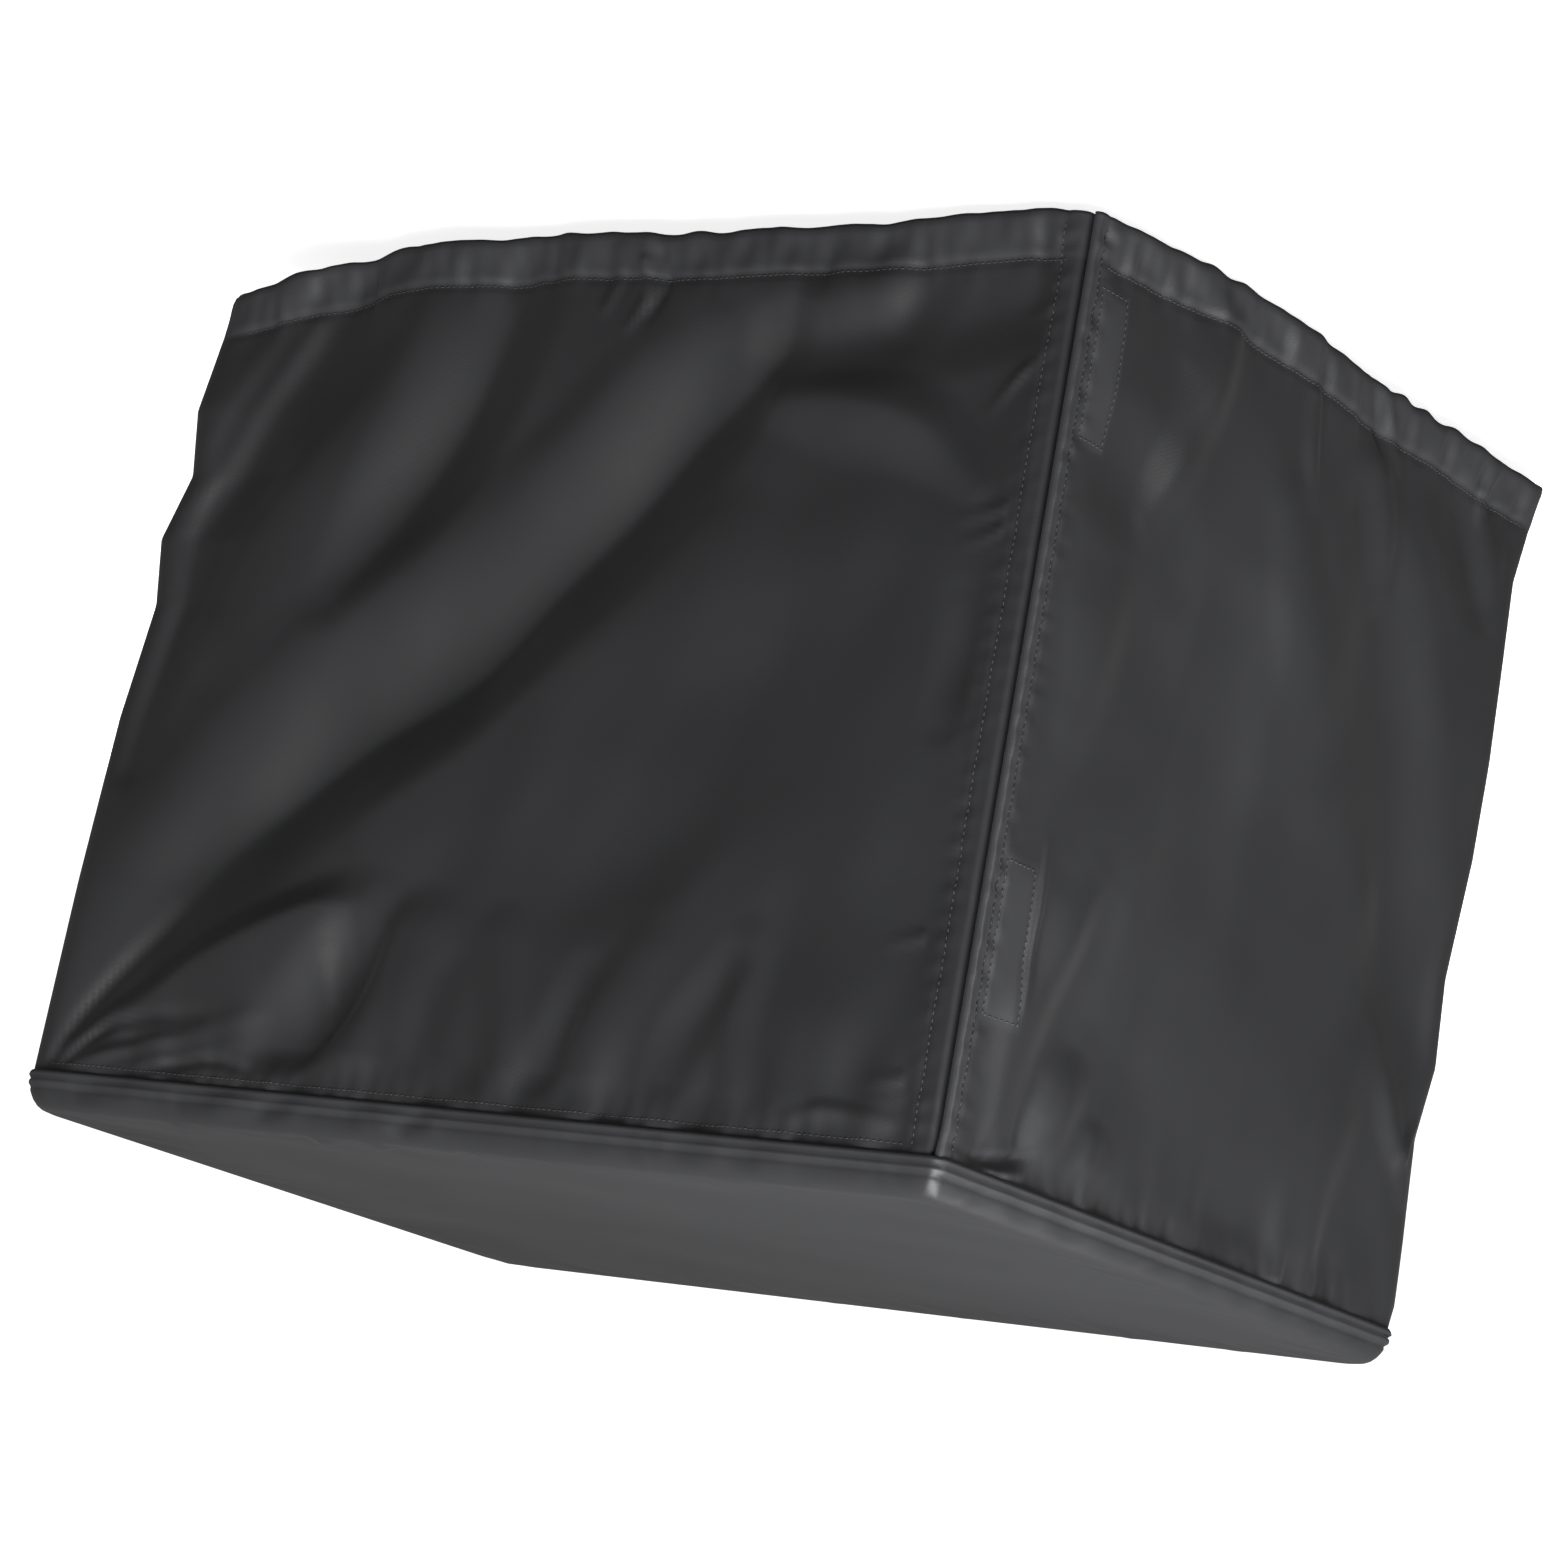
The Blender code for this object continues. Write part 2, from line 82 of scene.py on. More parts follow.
# Corner opening between the front wall and the left wall
LAP_SETBACK = 0.0062
LAP_DEPTH = 0.052
LAP_TURN = 0.004
ROLL_RADIUS = 0.0026
ROLL_PROUD = 0.0014
ROLL_BLEND = 0.009
ROLL_CURL = math.radians(215)
ROLL_STARTS = 0.020

# Corner radii at the top seam and at the hem
Corner = namedtuple("Corner", "seam hem")
CORNERS = {
    "near": Corner(0.006, 0.006),
    "front_right": Corner(0.026, 0.046),
    "back_left": Corner(0.026, 0.026),
    "back_right": Corner(0.026, 0.036),
}

# Slump of each far corner: height, shift along X, shift along Y
SLUMPS = {
    "near": ((-0.014, 0.000, 0.000), (-0.522, 0.000, 0.000)),
    "front_right": ((-0.014, 0.000, 0.000), (-0.130, 0.000, -0.002), (-0.230, 0.001, 0.000),
                    (-0.300, -0.004, 0.002), (-0.340, 0.003, 0.000), (-0.380, -0.007, 0.003),
                    (-0.420, -0.001, 0.000), (-0.522, -0.010, 0.006)),
    "back_left": ((-0.014, 0.000, 0.000), (-0.030, 0.000, 0.003), (-0.068, 0.000, 0.000),
                  (-0.126, 0.001, -0.005), (-0.170, 0.000, 0.002), (-0.221, 0.001, -0.002),
                  (-0.294, 0.000, 0.003), (-0.353, -0.001, 0.001), (-0.462, 0.001, -0.004),
                  (-0.522, -0.002, 0.004)),
    "back_right": ((-0.014, 0.000, 0.000), (-0.200, 0.003, 0.001), (-0.360, -0.004, -0.003),
                   (-0.522, -0.006, -0.005)),
}
SLUMP_REACH = 0.075

# Hem height above or below its mean: place along the wall, rise
HEM_RISE = {
    "front_wall": ((-0.331, -0.001), (-0.291, -0.003), (-0.185, 0.003), (-0.050, 0.005),
                   (0.060, 0.002), (0.169, 0.008), (0.229, 0.017), (0.292, 0.030), (0.330, 0.033)),
    "left_wall": ((-0.239, -0.001), (-0.193, -0.004), (-0.106, -0.008), (-0.083, -0.006),
                  (-0.022, -0.004), (0.030, 0.000), (0.125, -0.001), (0.175, 0.002), (0.239, 0.001)),
    "back_wall": ((-0.330, 0.001), (-0.180, -0.004), (-0.020, 0.002), (0.140, -0.003),
                  (0.330, 0.010)),
    "right_wall": ((-0.239, 0.033), (-0.150, 0.012), (0.000, -0.002), (0.120, 0.003),
                   (0.239, 0.010)),
}

# Folds, drawn from their high end to their low end. Each has a power, about 2 for a soft fold and
# nearer 1 for a sharp one, and rows of: place along the wall, height, reach to its far side
# (higher along), reach to its near side, push outwards
FOLDS = {
    "front_wall": {
        "main_trough": (1.4, (
            (0.300, -0.040, 0.016, 0.008, -0.002), (0.264, -0.082, 0.040, 0.018, -0.005),
            (0.214, -0.150, 0.048, 0.032, -0.015), (0.138, -0.214, 0.052, 0.034, -0.022),
            (0.058, -0.264, 0.058, 0.032, -0.023), (0.008, -0.314, 0.056, 0.034, -0.023),
            (-0.038, -0.360, 0.044, 0.036, -0.021), (-0.078, -0.404, 0.040, 0.034, -0.017),
            (-0.122, -0.442, 0.030, 0.018, -0.008), (-0.140, -0.480, 0.018, 0.012, -0.002))),
        "upper_crest": (2.0, (
            (0.090, -0.178, 0.014, 0.040, 0.002), (0.020, -0.232, 0.016, 0.045, 0.002),
            (-0.060, -0.286, 0.018, 0.045, 0.002), (-0.112, -0.340, 0.016, 0.040, 0.002))),
        "pillow": (1.35, (
            (0.262, -0.052, 0.008, 0.018, 0.004), (0.220, -0.080, 0.010, 0.040, 0.008),
            (0.170, -0.104, 0.012, 0.058, 0.011), (0.126, -0.122, 0.012, 0.062, 0.011),
            (0.098, -0.126, 0.016, 0.040, 0.004))),
        "crescent": (1.8, (
            (0.144, -0.022, 0.024, 0.024, -0.005), (0.116, -0.056, 0.026, 0.026, -0.008),
            (0.092, -0.090, 0.024, 0.020, -0.007), (0.076, -0.118, 0.016, 0.010, -0.002))),
        "crescent_crest": (2.0, (
            (0.112, -0.024, 0.008, 0.030, 0.005), (0.078, -0.060, 0.010, 0.030, 0.005),
            (0.056, -0.112, 0.012, 0.028, 0.004))),
        "lower_swell": (2.0, (
            (0.262, -0.170, 0.030, 0.026, 0.003), (0.190, -0.240, 0.036, 0.034, 0.004),
            (0.110, -0.306, 0.028, 0.036, 0.004), (0.040, -0.360, 0.022, 0.036, 0.004),
            (-0.020, -0.420, 0.020, 0.034, 0.003), (-0.060, -0.470, 0.018, 0.026, 0.002))),
        "second_trough": (1.5, (
            (0.164, -0.302, 0.018, 0.014, -0.003), (0.128, -0.360, 0.030, 0.028, -0.013),
            (0.100, -0.412, 0.036, 0.032, -0.017), (0.080, -0.464, 0.038, 0.032, -0.012),
            (0.066, -0.512, 0.040, 0.030, -0.004))),
        "second_swell": (2.0, (
            (0.244, -0.290, 0.030, 0.030, 0.003), (0.196, -0.372, 0.026, 0.036, 0.006),
            (0.144, -0.440, 0.022, 0.032, 0.004), (0.112, -0.486, 0.018, 0.024, 0.002))),
        "end_trough": (1.6, (
            (0.306, -0.200, 0.008, 0.016, -0.003), (0.300, -0.290, 0.014, 0.028, -0.009),
            (0.288, -0.348, 0.024, 0.036, -0.012), (0.262, -0.402, 0.034, 0.040, -0.014),
            (0.228, -0.450, 0.038, 0.044, -0.014), (0.196, -0.498, 0.034, 0.036, -0.009))),
        "end_ridge": (1.6, (
            (0.306, -0.362, 0.008, 0.008, 0.001), (0.284, -0.393, 0.008, 0.008, 0.002),
            (0.264, -0.424, 0.008, 0.008, 0.002), (0.238, -0.462, 0.008, 0.008, 0.002),
            (0.212, -0.502, 0.008, 0.008, 0.001))),
        "end_flap": (2.0, (
            (0.310, -0.420, 0.020, 0.014, -0.003), (0.290, -0.470, 0.030, 0.018, -0.006),
            (0.270, -0.506, 0.030, 0.018, -0.004))),
        "lobe": (1.6, (
            (-0.136, -0.420, 0.010, 0.014, 0.003), (-0.190, -0.418, 0.014, 0.024, 0.007),
            (-0.240, -0.406, 0.016, 0.022, 0.007), (-0.282, -0.372, 0.010, 0.010, 0.002))),
        "lobe_trough": (1.8, (
            (-0.124, -0.448, 0.020, 0.012, -0.003), (-0.180, -0.452, 0.022, 0.018, -0.005),
            (-0.240, -0.462, 0.024, 0.022, -0.006), (-0.296, -0.474, 0.018, 0.020, -0.004))),
        "low_swell": (2.0, (
            (-0.106, -0.486, 0.016, 0.014, 0.002), (-0.150, -0.478, 0.020, 0.016, 0.004),
            (-0.200, -0.482, 0.018, 0.014, 0.004))),
        "low_notch": (1.7, (
            (-0.210, -0.460, 0.014, 0.016, -0.002), (-0.218, -0.480, 0.014, 0.020, -0.004),
            (-0.230, -0.506, 0.014, 0.020, -0.002))),
        "crest_a": (1.8, (
            (-0.204, -0.024, 0.010, 0.010, 0.0025), (-0.188, -0.070, 0.010, 0.014, 0.0035),
            (-0.192, -0.118, 0.012, 0.014, 0.0015))),
        "trough_a": (1.8, (
            (-0.150, -0.022, 0.014, 0.010, -0.0025), (-0.157, -0.065, 0.016, 0.013, -0.0040),
            (-0.182, -0.108, 0.012, 0.010, -0.0015))),
        "crest_b": (1.8, (
            (-0.082, -0.024, 0.010, 0.018, 0.0020), (-0.090, -0.066, 0.010, 0.024, 0.0036),
            (-0.112, -0.108, 0.012, 0.020, 0.0015))),
        "trough_b": (1.8, (
            (-0.058, -0.020, 0.012, 0.009, -0.0025), (-0.066, -0.060, 0.013, 0.010, -0.0036),
            (-0.078, -0.096, 0.012, 0.010, -0.0015))),
        "crest_c": (1.9, (
            (-0.038, -0.022, 0.010, 0.010, 0.0018), (-0.030, -0.060, 0.012, 0.012, 0.0024),
            (-0.012, -0.112, 0.012, 0.016, 0.0015))),
        "trough_c": (1.9, (
            (-0.014, -0.020, 0.010, 0.008, -0.0018), (-0.004, -0.052, 0.012, 0.010, -0.0024),
            (0.016, -0.092, 0.012, 0.012, -0.0012))),
        "trough_d": (1.7, (
            (0.034, -0.020, 0.008, 0.010, -0.0025), (0.032, -0.050, 0.012, 0.014, -0.0025),
            (0.026, -0.100, 0.016, 0.018, -0.0015))),
        "wedge": (1.8, (
            (-0.236, -0.024, 0.006, 0.006, 0.0015), (-0.262, -0.032, 0.006, 0.010, 0.0034),
            (-0.302, -0.028, 0.006, 0.008, 0.0015))),
        "strip_dent": (2.0, (
            (-0.292, -0.244, 0.012, 0.009, -0.0015), (-0.292, -0.276, 0.012, 0.009, -0.0040),
            (-0.288, -0.310, 0.012, 0.009, -0.0010))),
        "soft_hollow": (2.0, (
            (-0.060, -0.150, 0.045, 0.030, -0.003), (-0.110, -0.176, 0.040, 0.030, -0.004),
            (-0.150, -0.230, 0.040, 0.040, -0.003))),
        "soft_swell": (2.0, (
            (-0.250, -0.090, 0.030, 0.030, 0.003), (-0.260, -0.200, 0.040, 0.040, 0.003),
            (-0.230, -0.330, 0.050, 0.040, 0.004))),
    },
    "left_wall": {
        "crest_near": (1.7, (
            (-0.192, -0.022, 0.018, 0.024, 0.0034), (-0.190, -0.060, 0.020, 0.026, 0.0052),
            (-0.183, -0.095, 0.019, 0.022, 0.0052), (-0.170, -0.125, 0.018, 0.014, 0.0044),
            (-0.154, -0.152, 0.017, 0.014, 0.0040), (-0.140, -0.186, 0.013, 0.012, 0.0010))),
        "wedge": (1.8, (
            (-0.160, -0.060, 0.014, 0.014, -0.0010), (-0.144, -0.092, 0.024, 0.020, -0.0040),
            (-0.134, -0.122, 0.027, 0.020, -0.0044), (-0.122, -0.152, 0.024, 0.020, -0.0038),
            (-0.112, -0.184, 0.014, 0.012, -0.0008))),
        "lobe_a": (1.6, (
            (-0.149, -0.014, 0.013, 0.010, 0.0030), (-0.141, -0.044, 0.017, 0.018, 0.0062),
            (-0.130, -0.074, 0.019, 0.020, 0.0062), (-0.122, -0.096, 0.015, 0.014, 0.0014))),
        "groove_a": (1.8, (
            (-0.166, -0.020, 0.007, 0.007, -0.0014), (-0.162, -0.044, 0.008, 0.008, -0.0016),
            (-0.154, -0.070, 0.007, 0.007, -0.0006))),
        "lobe_b": (1.6, (
            (-0.119, -0.012, 0.011, 0.009, 0.0028), (-0.110, -0.032, 0.014, 0.013, 0.0050),
            (-0.101, -0.052, 0.015, 0.013, 0.0040), (-0.097, -0.064, 0.012, 0.009, 0.0008))),
        "lobe_c": (1.8, (
            (-0.094, -0.012, 0.007, 0.008, 0.0014), (-0.086, -0.032, 0.008, 0.009, 0.0026),
            (-0.080, -0.056, 0.008, 0.008, 0.0006))),
        "long_trough": (1.9, (
            (-0.168, -0.190, 0.018, 0.016, -0.0012), (-0.158, -0.230, 0.024, 0.022, -0.0034),
            (-0.138, -0.270, 0.028, 0.026, -0.0044), (-0.124, -0.320, 0.030, 0.028, -0.0044),
            (-0.126, -0.372, 0.026, 0.024, -0.0020))),
        "near_swell": (2.0, (
            (-0.180, -0.270, 0.024, 0.022, 0.002), (-0.176, -0.316, 0.026, 0.028, 0.004),
            (-0.182, -0.350, 0.024, 0.028, 0.002))),
        "low_hollow": (1.8, (
            (-0.142, -0.392, 0.022, 0.026, -0.0015), (-0.180, -0.402, 0.026, 0.032, -0.0036),
            (-0.216, -0.398, 0.022, 0.026, -0.0020))),
        "low_ridge": (1.6, (
            (-0.150, -0.384, 0.015, 0.010, 0.0020), (-0.138, -0.412, 0.019, 0.014, 0.0048),
            (-0.132, -0.440, 0.019, 0.014, 0.0044), (-0.120, -0.466, 0.018, 0.022, 0.0064),
            (-0.116, -0.500, 0.017, 0.022, 0.0050))),
        "low_trough": (1.9, (
            (-0.112, -0.370, 0.024, 0.018, -0.0020), (-0.096, -0.420, 0.030, 0.020, -0.0030),
            (-0.090, -0.470, 0.028, 0.018, -0.0026), (-0.090, -0.506, 0.022, 0.014, -0.0010))),
        "middle_trough": (2.0, (
            (-0.070, -0.110, 0.034, 0.028, -0.002), (-0.055, -0.250, 0.034, 0.028, -0.005),
            (-0.046, -0.350, 0.028, 0.026, -0.003))),
        "middle_ridge": (1.9, (
            (0.050, -0.290, 0.020, 0.026, 0.0015), (0.014, -0.366, 0.020, 0.026, 0.0032),
            (-0.030, -0.428, 0.016, 0.018, 0.002))),
        "belly": (2.0, (
            (0.010, -0.400, 0.080, 0.070, 0.004), (-0.060, -0.490, 0.080, 0.070, 0.007))),
        "far_trough": (1.8, (
            (0.198, -0.150, 0.024, 0.028, -0.002), (0.176, -0.204, 0.030, 0.036, -0.006),
            (0.134, -0.300, 0.036, 0.040, -0.009), (0.096, -0.390, 0.032, 0.038, -0.008),
            (0.052, -0.450, 0.020, 0.024, -0.003))),
        "far_ridge": (1.8, (
            (0.092, -0.016, 0.018, 0.014, 0.0016), (0.108, -0.084, 0.024, 0.022, 0.0034),
            (0.132, -0.148, 0.020, 0.018, 0.0016))),
        "far_dip": (1.9, (
            (0.134, -0.018, 0.020, 0.022, -0.0015), (0.150, -0.070, 0.024, 0.026, -0.0036),
            (0.164, -0.124, 0.016, 0.014, -0.001))),
        "tuck": (1.6, (
            (0.204, -0.094, 0.009, 0.010, 0.0024), (0.182, -0.128, 0.011, 0.012, 0.0036),
            (0.150, -0.176, 0.012, 0.012, 0.0010))),
        "far_patch": (1.7, (
            (0.142, -0.212, 0.012, 0.012, 0.0006), (0.126, -0.236, 0.014, 0.014, 0.0014),
            (0.106, -0.262, 0.012, 0.012, 0.0004))),
        "low_patch": (1.8, (
            (0.084, -0.416, 0.010, 0.014, 0.0020), (0.074, -0.440, 0.012, 0.020, 0.0052),
            (0.058, -0.474, 0.012, 0.020, 0.0036))),
        "low_streak": (1.7, (
            (-0.010, -0.440, 0.006, 0.008, 0.0010), (-0.017, -0.464, 0.006, 0.010, 0.0030),
            (-0.022, -0.494, 0.006, 0.010, 0.0020))),
        "end_dip": (1.8, (
            (0.176, -0.440, 0.018, 0.016, -0.002), (0.150, -0.474, 0.018, 0.020, -0.005),
            (0.126, -0.488, 0.014, 0.018, -0.002))),
        "end_patch": (1.8, (
            (0.204, -0.440, 0.014, 0.014, 0.002), (0.192, -0.462, 0.016, 0.018, 0.004),
            (0.182, -0.488, 0.014, 0.016, 0.002))),
    },
    "back_wall": {
        "left_drape": (1.8, (
            (-0.250, -0.060, 0.030, 0.030, -0.004), (-0.180, -0.250, 0.040, 0.040, -0.008),
            (-0.190, -0.480, 0.030, 0.030, -0.006))),
        "middle_swell": (2.0, (
            (-0.040, -0.150, 0.080, 0.080, 0.004), (0.020, -0.400, 0.070, 0.070, 0.006))),
        "right_drape": (1.8, (
            (0.270, -0.050, 0.024, 0.024, -0.004), (0.160, -0.260, 0.040, 0.040, -0.009),
            (0.130, -0.480, 0.030, 0.030, -0.006))),
        "pucker_a": (1.8, (
            (-0.130, -0.020, 0.012, 0.012, 0.002), (-0.120, -0.070, 0.016, 0.016, 0.004),
            (-0.100, -0.140, 0.018, 0.018, 0.001))),
        "pucker_b": (1.8, (
            (0.120, -0.020, 0.012, 0.012, -0.002), (0.106, -0.080, 0.016, 0.016, -0.004),
            (0.090, -0.150, 0.018, 0.018, -0.001))),
    },
    "right_wall": {
        "near_drape": (1.8, (
            (-0.150, -0.060, 0.026, 0.026, -0.003), (-0.090, -0.280, 0.036, 0.036, -0.007),
            (-0.100, -0.480, 0.028, 0.028, -0.006))),
        "far_swell": (2.0, (
            (0.070, -0.180, 0.060, 0.060, 0.004), (0.090, -0.420, 0.050, 0.050, 0.006))),
        "pucker": (1.8, (
            (0.020, -0.020, 0.012, 0.012, 0.002), (0.010, -0.080, 0.016, 0.016, 0.004),
            (0.000, -0.140, 0.018, 0.018, 0.001))),
    },
}

# Fine creases, which may start at the seam itself: the same columns
CREASES = {
    "front_wall": {
        "ray_a": (1.5, (
            (0.312, -0.016, 0.003, 0.003, 0.0010), (0.286, -0.042, 0.004, 0.004, 0.0026),
            (0.250, -0.070, 0.006, 0.006, 0.0010))),
        "ray_b": (1.5, (
            (0.314, -0.022, 0.004, 0.003, -0.0015), (0.286, -0.064, 0.006, 0.004, -0.0034),
            (0.244, -0.114, 0.008, 0.005, -0.0015))),
        "ray_c": (1.6, (
            (0.304, -0.017, 0.003, 0.004, 0.0010), (0.256, -0.033, 0.004, 0.005, 0.0022),
            (0.196, -0.046, 0.005, 0.006, 0.0014), (0.150, -0.060, 0.006, 0.006, 0.0004))),
        "ray_d": (1.6, (
            (0.300, -0.024, 0.003, 0.003, -0.0010), (0.262, -0.048, 0.004, 0.004, -0.0024),
            (0.196, -0.056, 0.005, 0.005, -0.0012))),
        "top_wrinkle": (1.6, (
            (0.244, -0.018, 0.004, 0.004, -0.0010), (0.212, -0.026, 0.004, 0.004, -0.0024),
            (0.180, -0.030, 0.004, 0.004, -0.0022), (0.156, -0.026, 0.004, 0.004, -0.0010))),
        "hem_crinkle_a": (1.5, (
            (-0.020, -0.462, 0.004, 0.004, 0.0015), (-0.030, -0.480, 0.004, 0.004, 0.0034),
            (-0.026, -0.500, 0.004, 0.004, 0.0030))),
        "hem_crinkle_b": (1.5, (
            (-0.034, -0.468, 0.003, 0.004, -0.0015), (-0.042, -0.488, 0.003, 0.004, -0.0030),
            (-0.036, -0.506, 0.003, 0.004, -0.0020))),
        "hem_crinkle_c": (1.5, (
            (0.000, -0.474, 0.004, 0.005, 0.0015), (-0.008, -0.492, 0.004, 0.005, 0.0026),
            (-0.004, -0.508, 0.004, 0.005, 0.0016))),
        "strip_pucker_a": (1.6, (
            (-0.282, -0.124, 0.003, 0.003, 0.0004), (-0.302, -0.129, 0.003, 0.003, 0.0018))),
        "strip_pucker_b": (1.6, (
            (-0.282, -0.340, 0.003, 0.003, 0.0004), (-0.304, -0.348, 0.003, 0.003, 0.0020))),
        "strip_pucker_c": (1.6, (
            (-0.276, -0.354, 0.003, 0.003, 0.0004), (-0.304, -0.360, 0.003, 0.003, 0.0022))),
        "strip_pucker_d": (1.6, (
            (-0.280, -0.414, 0.003, 0.004, 0.0006), (-0.298, -0.434, 0.003, 0.004, 0.0026),
            (-0.312, -0.444, 0.003, 0.004, 0.0010))),
        "strip_pucker_e": (1.6, (
            (-0.290, -0.466, 0.003, 0.003, 0.0004), (-0.310, -0.470, 0.003, 0.003, 0.0020))),
        "strip_pucker_f": (1.6, (
            (-0.286, -0.050, 0.003, 0.003, 0.0004), (-0.306, -0.054, 0.003, 0.003, 0.0016))),
    },
    "left_wall": {
        "corner_tuck_low": (1.5, (
            (-0.152, -0.034, 0.003, 0.003, -0.0008), (-0.172, -0.026, 0.004, 0.004, -0.0036),
            (-0.196, -0.021, 0.004, 0.004, -0.0030), (-0.214, -0.022, 0.003, 0.003, -0.0008))),
        "corner_tuck_high": (1.5, (
            (-0.156, -0.022, 0.003, 0.003, 0.0010), (-0.176, -0.018, 0.004, 0.004, 0.0030),
            (-0.204, -0.016, 0.003, 0.003, 0.0010))),
        "edge_fork": (1.5, (
            (0.190, -0.106, 0.004, 0.004, 0.0015), (0.200, -0.120, 0.004, 0.004, 0.0034),
            (0.208, -0.132, 0.004, 0.004, 0.0020))),
        "patch_crease": (1.5, (
            (-0.187, -0.104, 0.004, 0.003, 0.0008), (-0.186, -0.150, 0.005, 0.003, 0.0026),
            (-0.183, -0.192, 0.005, 0.003, 0.0006))),
        "casing_streak_a": (1.6, (
            (0.076, -0.484, 0.004, 0.005, 0.0010), (0.060, -0.502, 0.004, 0.006, 0.0028),
            (0.044, -0.522, 0.004, 0.005, 0.0014))),
        "casing_streak_b": (1.6, (
            (0.060, -0.480, 0.003, 0.004, -0.0010), (0.044, -0.500, 0.004, 0.004, -0.0022),
            (0.030, -0.520, 0.004, 0.004, -0.0010))),
        "casing_streak_c": (1.6, (
            (0.170, -0.484, 0.004, 0.004, 0.0010), (0.166, -0.500, 0.004, 0.005, 0.0024),
            (0.172, -0.516, 0.004, 0.004, 0.0010))),
    },
    "back_wall": {},
    "right_wall": {},
}
FOLD_STEPS = 6
FOLD_FOOT = 1.6
SEAM_ROW = 0.012
SEAM_FADE = 0.022
CREASE_FADE = 0.005
CORNER_FADE = 0.030

# Hem casing: its stitch line above the edge, its bulge, and its crinkles
CASING = 0.027
CASING_BULGE = 0.0012
CASING_FLARE = 0.0035
CASING_CRINKLE = 0.0010
CASING_REACH = 0.016
STITCH_GROOVE = 0.0007
STITCH_REACH = 0.0020
STRIP_LINE = 0.020
ROLL_LINE = 0.010
PUCKER_REACH = 0.010

# Tape outlines stitched on the left wall: from the edge, and from top to bottom
Patch = namedtuple("Patch", "start width top bottom")
PATCHES = (Patch(0.013, 0.029, -0.092, -0.178), Patch(0.013, 0.026, -0.402, -0.488))
PATCH_PROUD = 0.0006

# Mesh spacing: rows down every wall, columns along each wall's straight part
Band = namedtuple("Band", "until spacing")
ROW_BANDS = (Band(0.030, 0.0018), Band(0.464, 0.0034), Band(0.508, 0.0020))
COLUMN_BANDS = {
    "front_wall": (Band(0.030, 0.0015), Band(0.640, 0.0034)),
    "left_wall": (Band(0.056, 0.0016), Band(0.420, 0.0032)),
    "back_wall": (Band(0.620, 0.0060),),
    "right_wall": (Band(0.400, 0.0060),),
}
CORNER_STEPS = 8
LAP_STEPS = 6
TURN_STEPS = 6
ROLL_STEPS = 10
ROLL_BLEND_STEPS = 5
WALL_CORNERS = {
    "front_wall": ("near", "front_right"),
    "left_wall": ("near", "back_left"),
    "back_wall": ("back_left", "back_right"),
    "right_wall": ("front_right", "back_right"),
}


def blend(low, high, share):
    return low + (high - low) * share


def smooth(share):
    share = np.clip(share, 0.0, 1.0)
    return share * share * (3.0 - 2.0 * share)


def bell(distance, reach):
    return np.exp(-(distance / reach) ** 2)


def spaced(bands):
    """Places from 0 to the last band's end, at each band's spacing."""
    places = [0.0]
    start = 0.0
    for band in bands:
        steps = round((band.until - start) / band.spacing)
        places.extend(blend(start, band.until, np.arange(1, steps + 1) / steps))
        start = band.until
    return np.array(places)


def ripple(u, v, seed, waves=9):
    """Smooth uneven waves of about unit height, their length about one unit of u and v."""
    random = np.random.default_rng(seed)
    total = np.zeros(np.broadcast(u, v).shape)
    for _ in range(waves):
        turn = random.uniform(0, math.pi)
        size = random.uniform(0.6, 1.5) * 2 * math.pi
        phase = random.uniform(0, 2 * math.pi)
        total += np.sin(size * (u * math.cos(turn) + v * math.sin(turn)) + phase)
    return total / math.sqrt(waves)


def curve_through(rows, steps):
    """Points of a smooth curve through the rows, every column carried along it."""
    rows = np.array(rows, float)
    padded = np.vstack([2 * rows[0] - rows[1], rows, 2 * rows[-1] - rows[-2]])
    points = []
    for i in range(1, len(padded) - 2):
        a, b, c, d = padded[i - 1:i + 3]
        for share in np.linspace(0.0, 1.0, steps, endpoint=False):
            points.append(0.5 * (2 * b + (c - a) * share + (2 * a - 5 * b + 4 * c - d) * share**2
                                 + (3 * b - a - 3 * c + d) * share**3))
    points.append(rows[-1])
    return np.array(points)


def fold_push(folds, along, z):
    """How far the folds push each point of a wall outwards."""
    total = np.zeros(along.shape)
    for power, rows in folds.values():
        nearest = np.full(along.shape, np.inf)
        push = np.zeros(along.shape)
        curve = curve_through(rows, FOLD_STEPS)
        for start, end in zip(curve[:-1], curve[1:]):
            step = end[:2] - start[:2]
            length = math.hypot(*step)
            from_start = (along - start[0], z - start[1])
            share = (from_start[0] * step[0] + from_start[1] * step[1]) / length**2
            share = np.clip(share, 0.0, 1.0)
            distance = np.hypot(from_start[0] - share * step[0], from_start[1] - share * step[1])
            aside = (step[0] * from_start[1] - step[1] * from_start[0]) / length
            far_side = 0.5 + 0.5 * np.clip(aside / np.maximum(distance, 1e-9), -1.0, 1.0)
            reach = blend(blend(start[3], end[3], share), blend(start[2], end[2], share), far_side)
            here = distance < nearest
            nearest = np.where(here, distance, nearest)
            inside = np.minimum(distance / (FOLD_FOOT * reach), 1.0)
            height = blend(start[4], end[4], share) * (1.0 - inside**power) ** 2
            push = np.where(here, height, push)
        total += push
    return total


def slump_at(corner, z):
    heights, shift_x, shift_y = (np.array(column) for column in zip(*SLUMPS[corner]))
    return np.interp(-z, -heights, shift_x), np.interp(-z, -heights, shift_y)


def hem_height(wall, along):
    places, rises = zip(*HEM_RISE[wall])
    return HEM_Z + np.interp(along, places, rises)


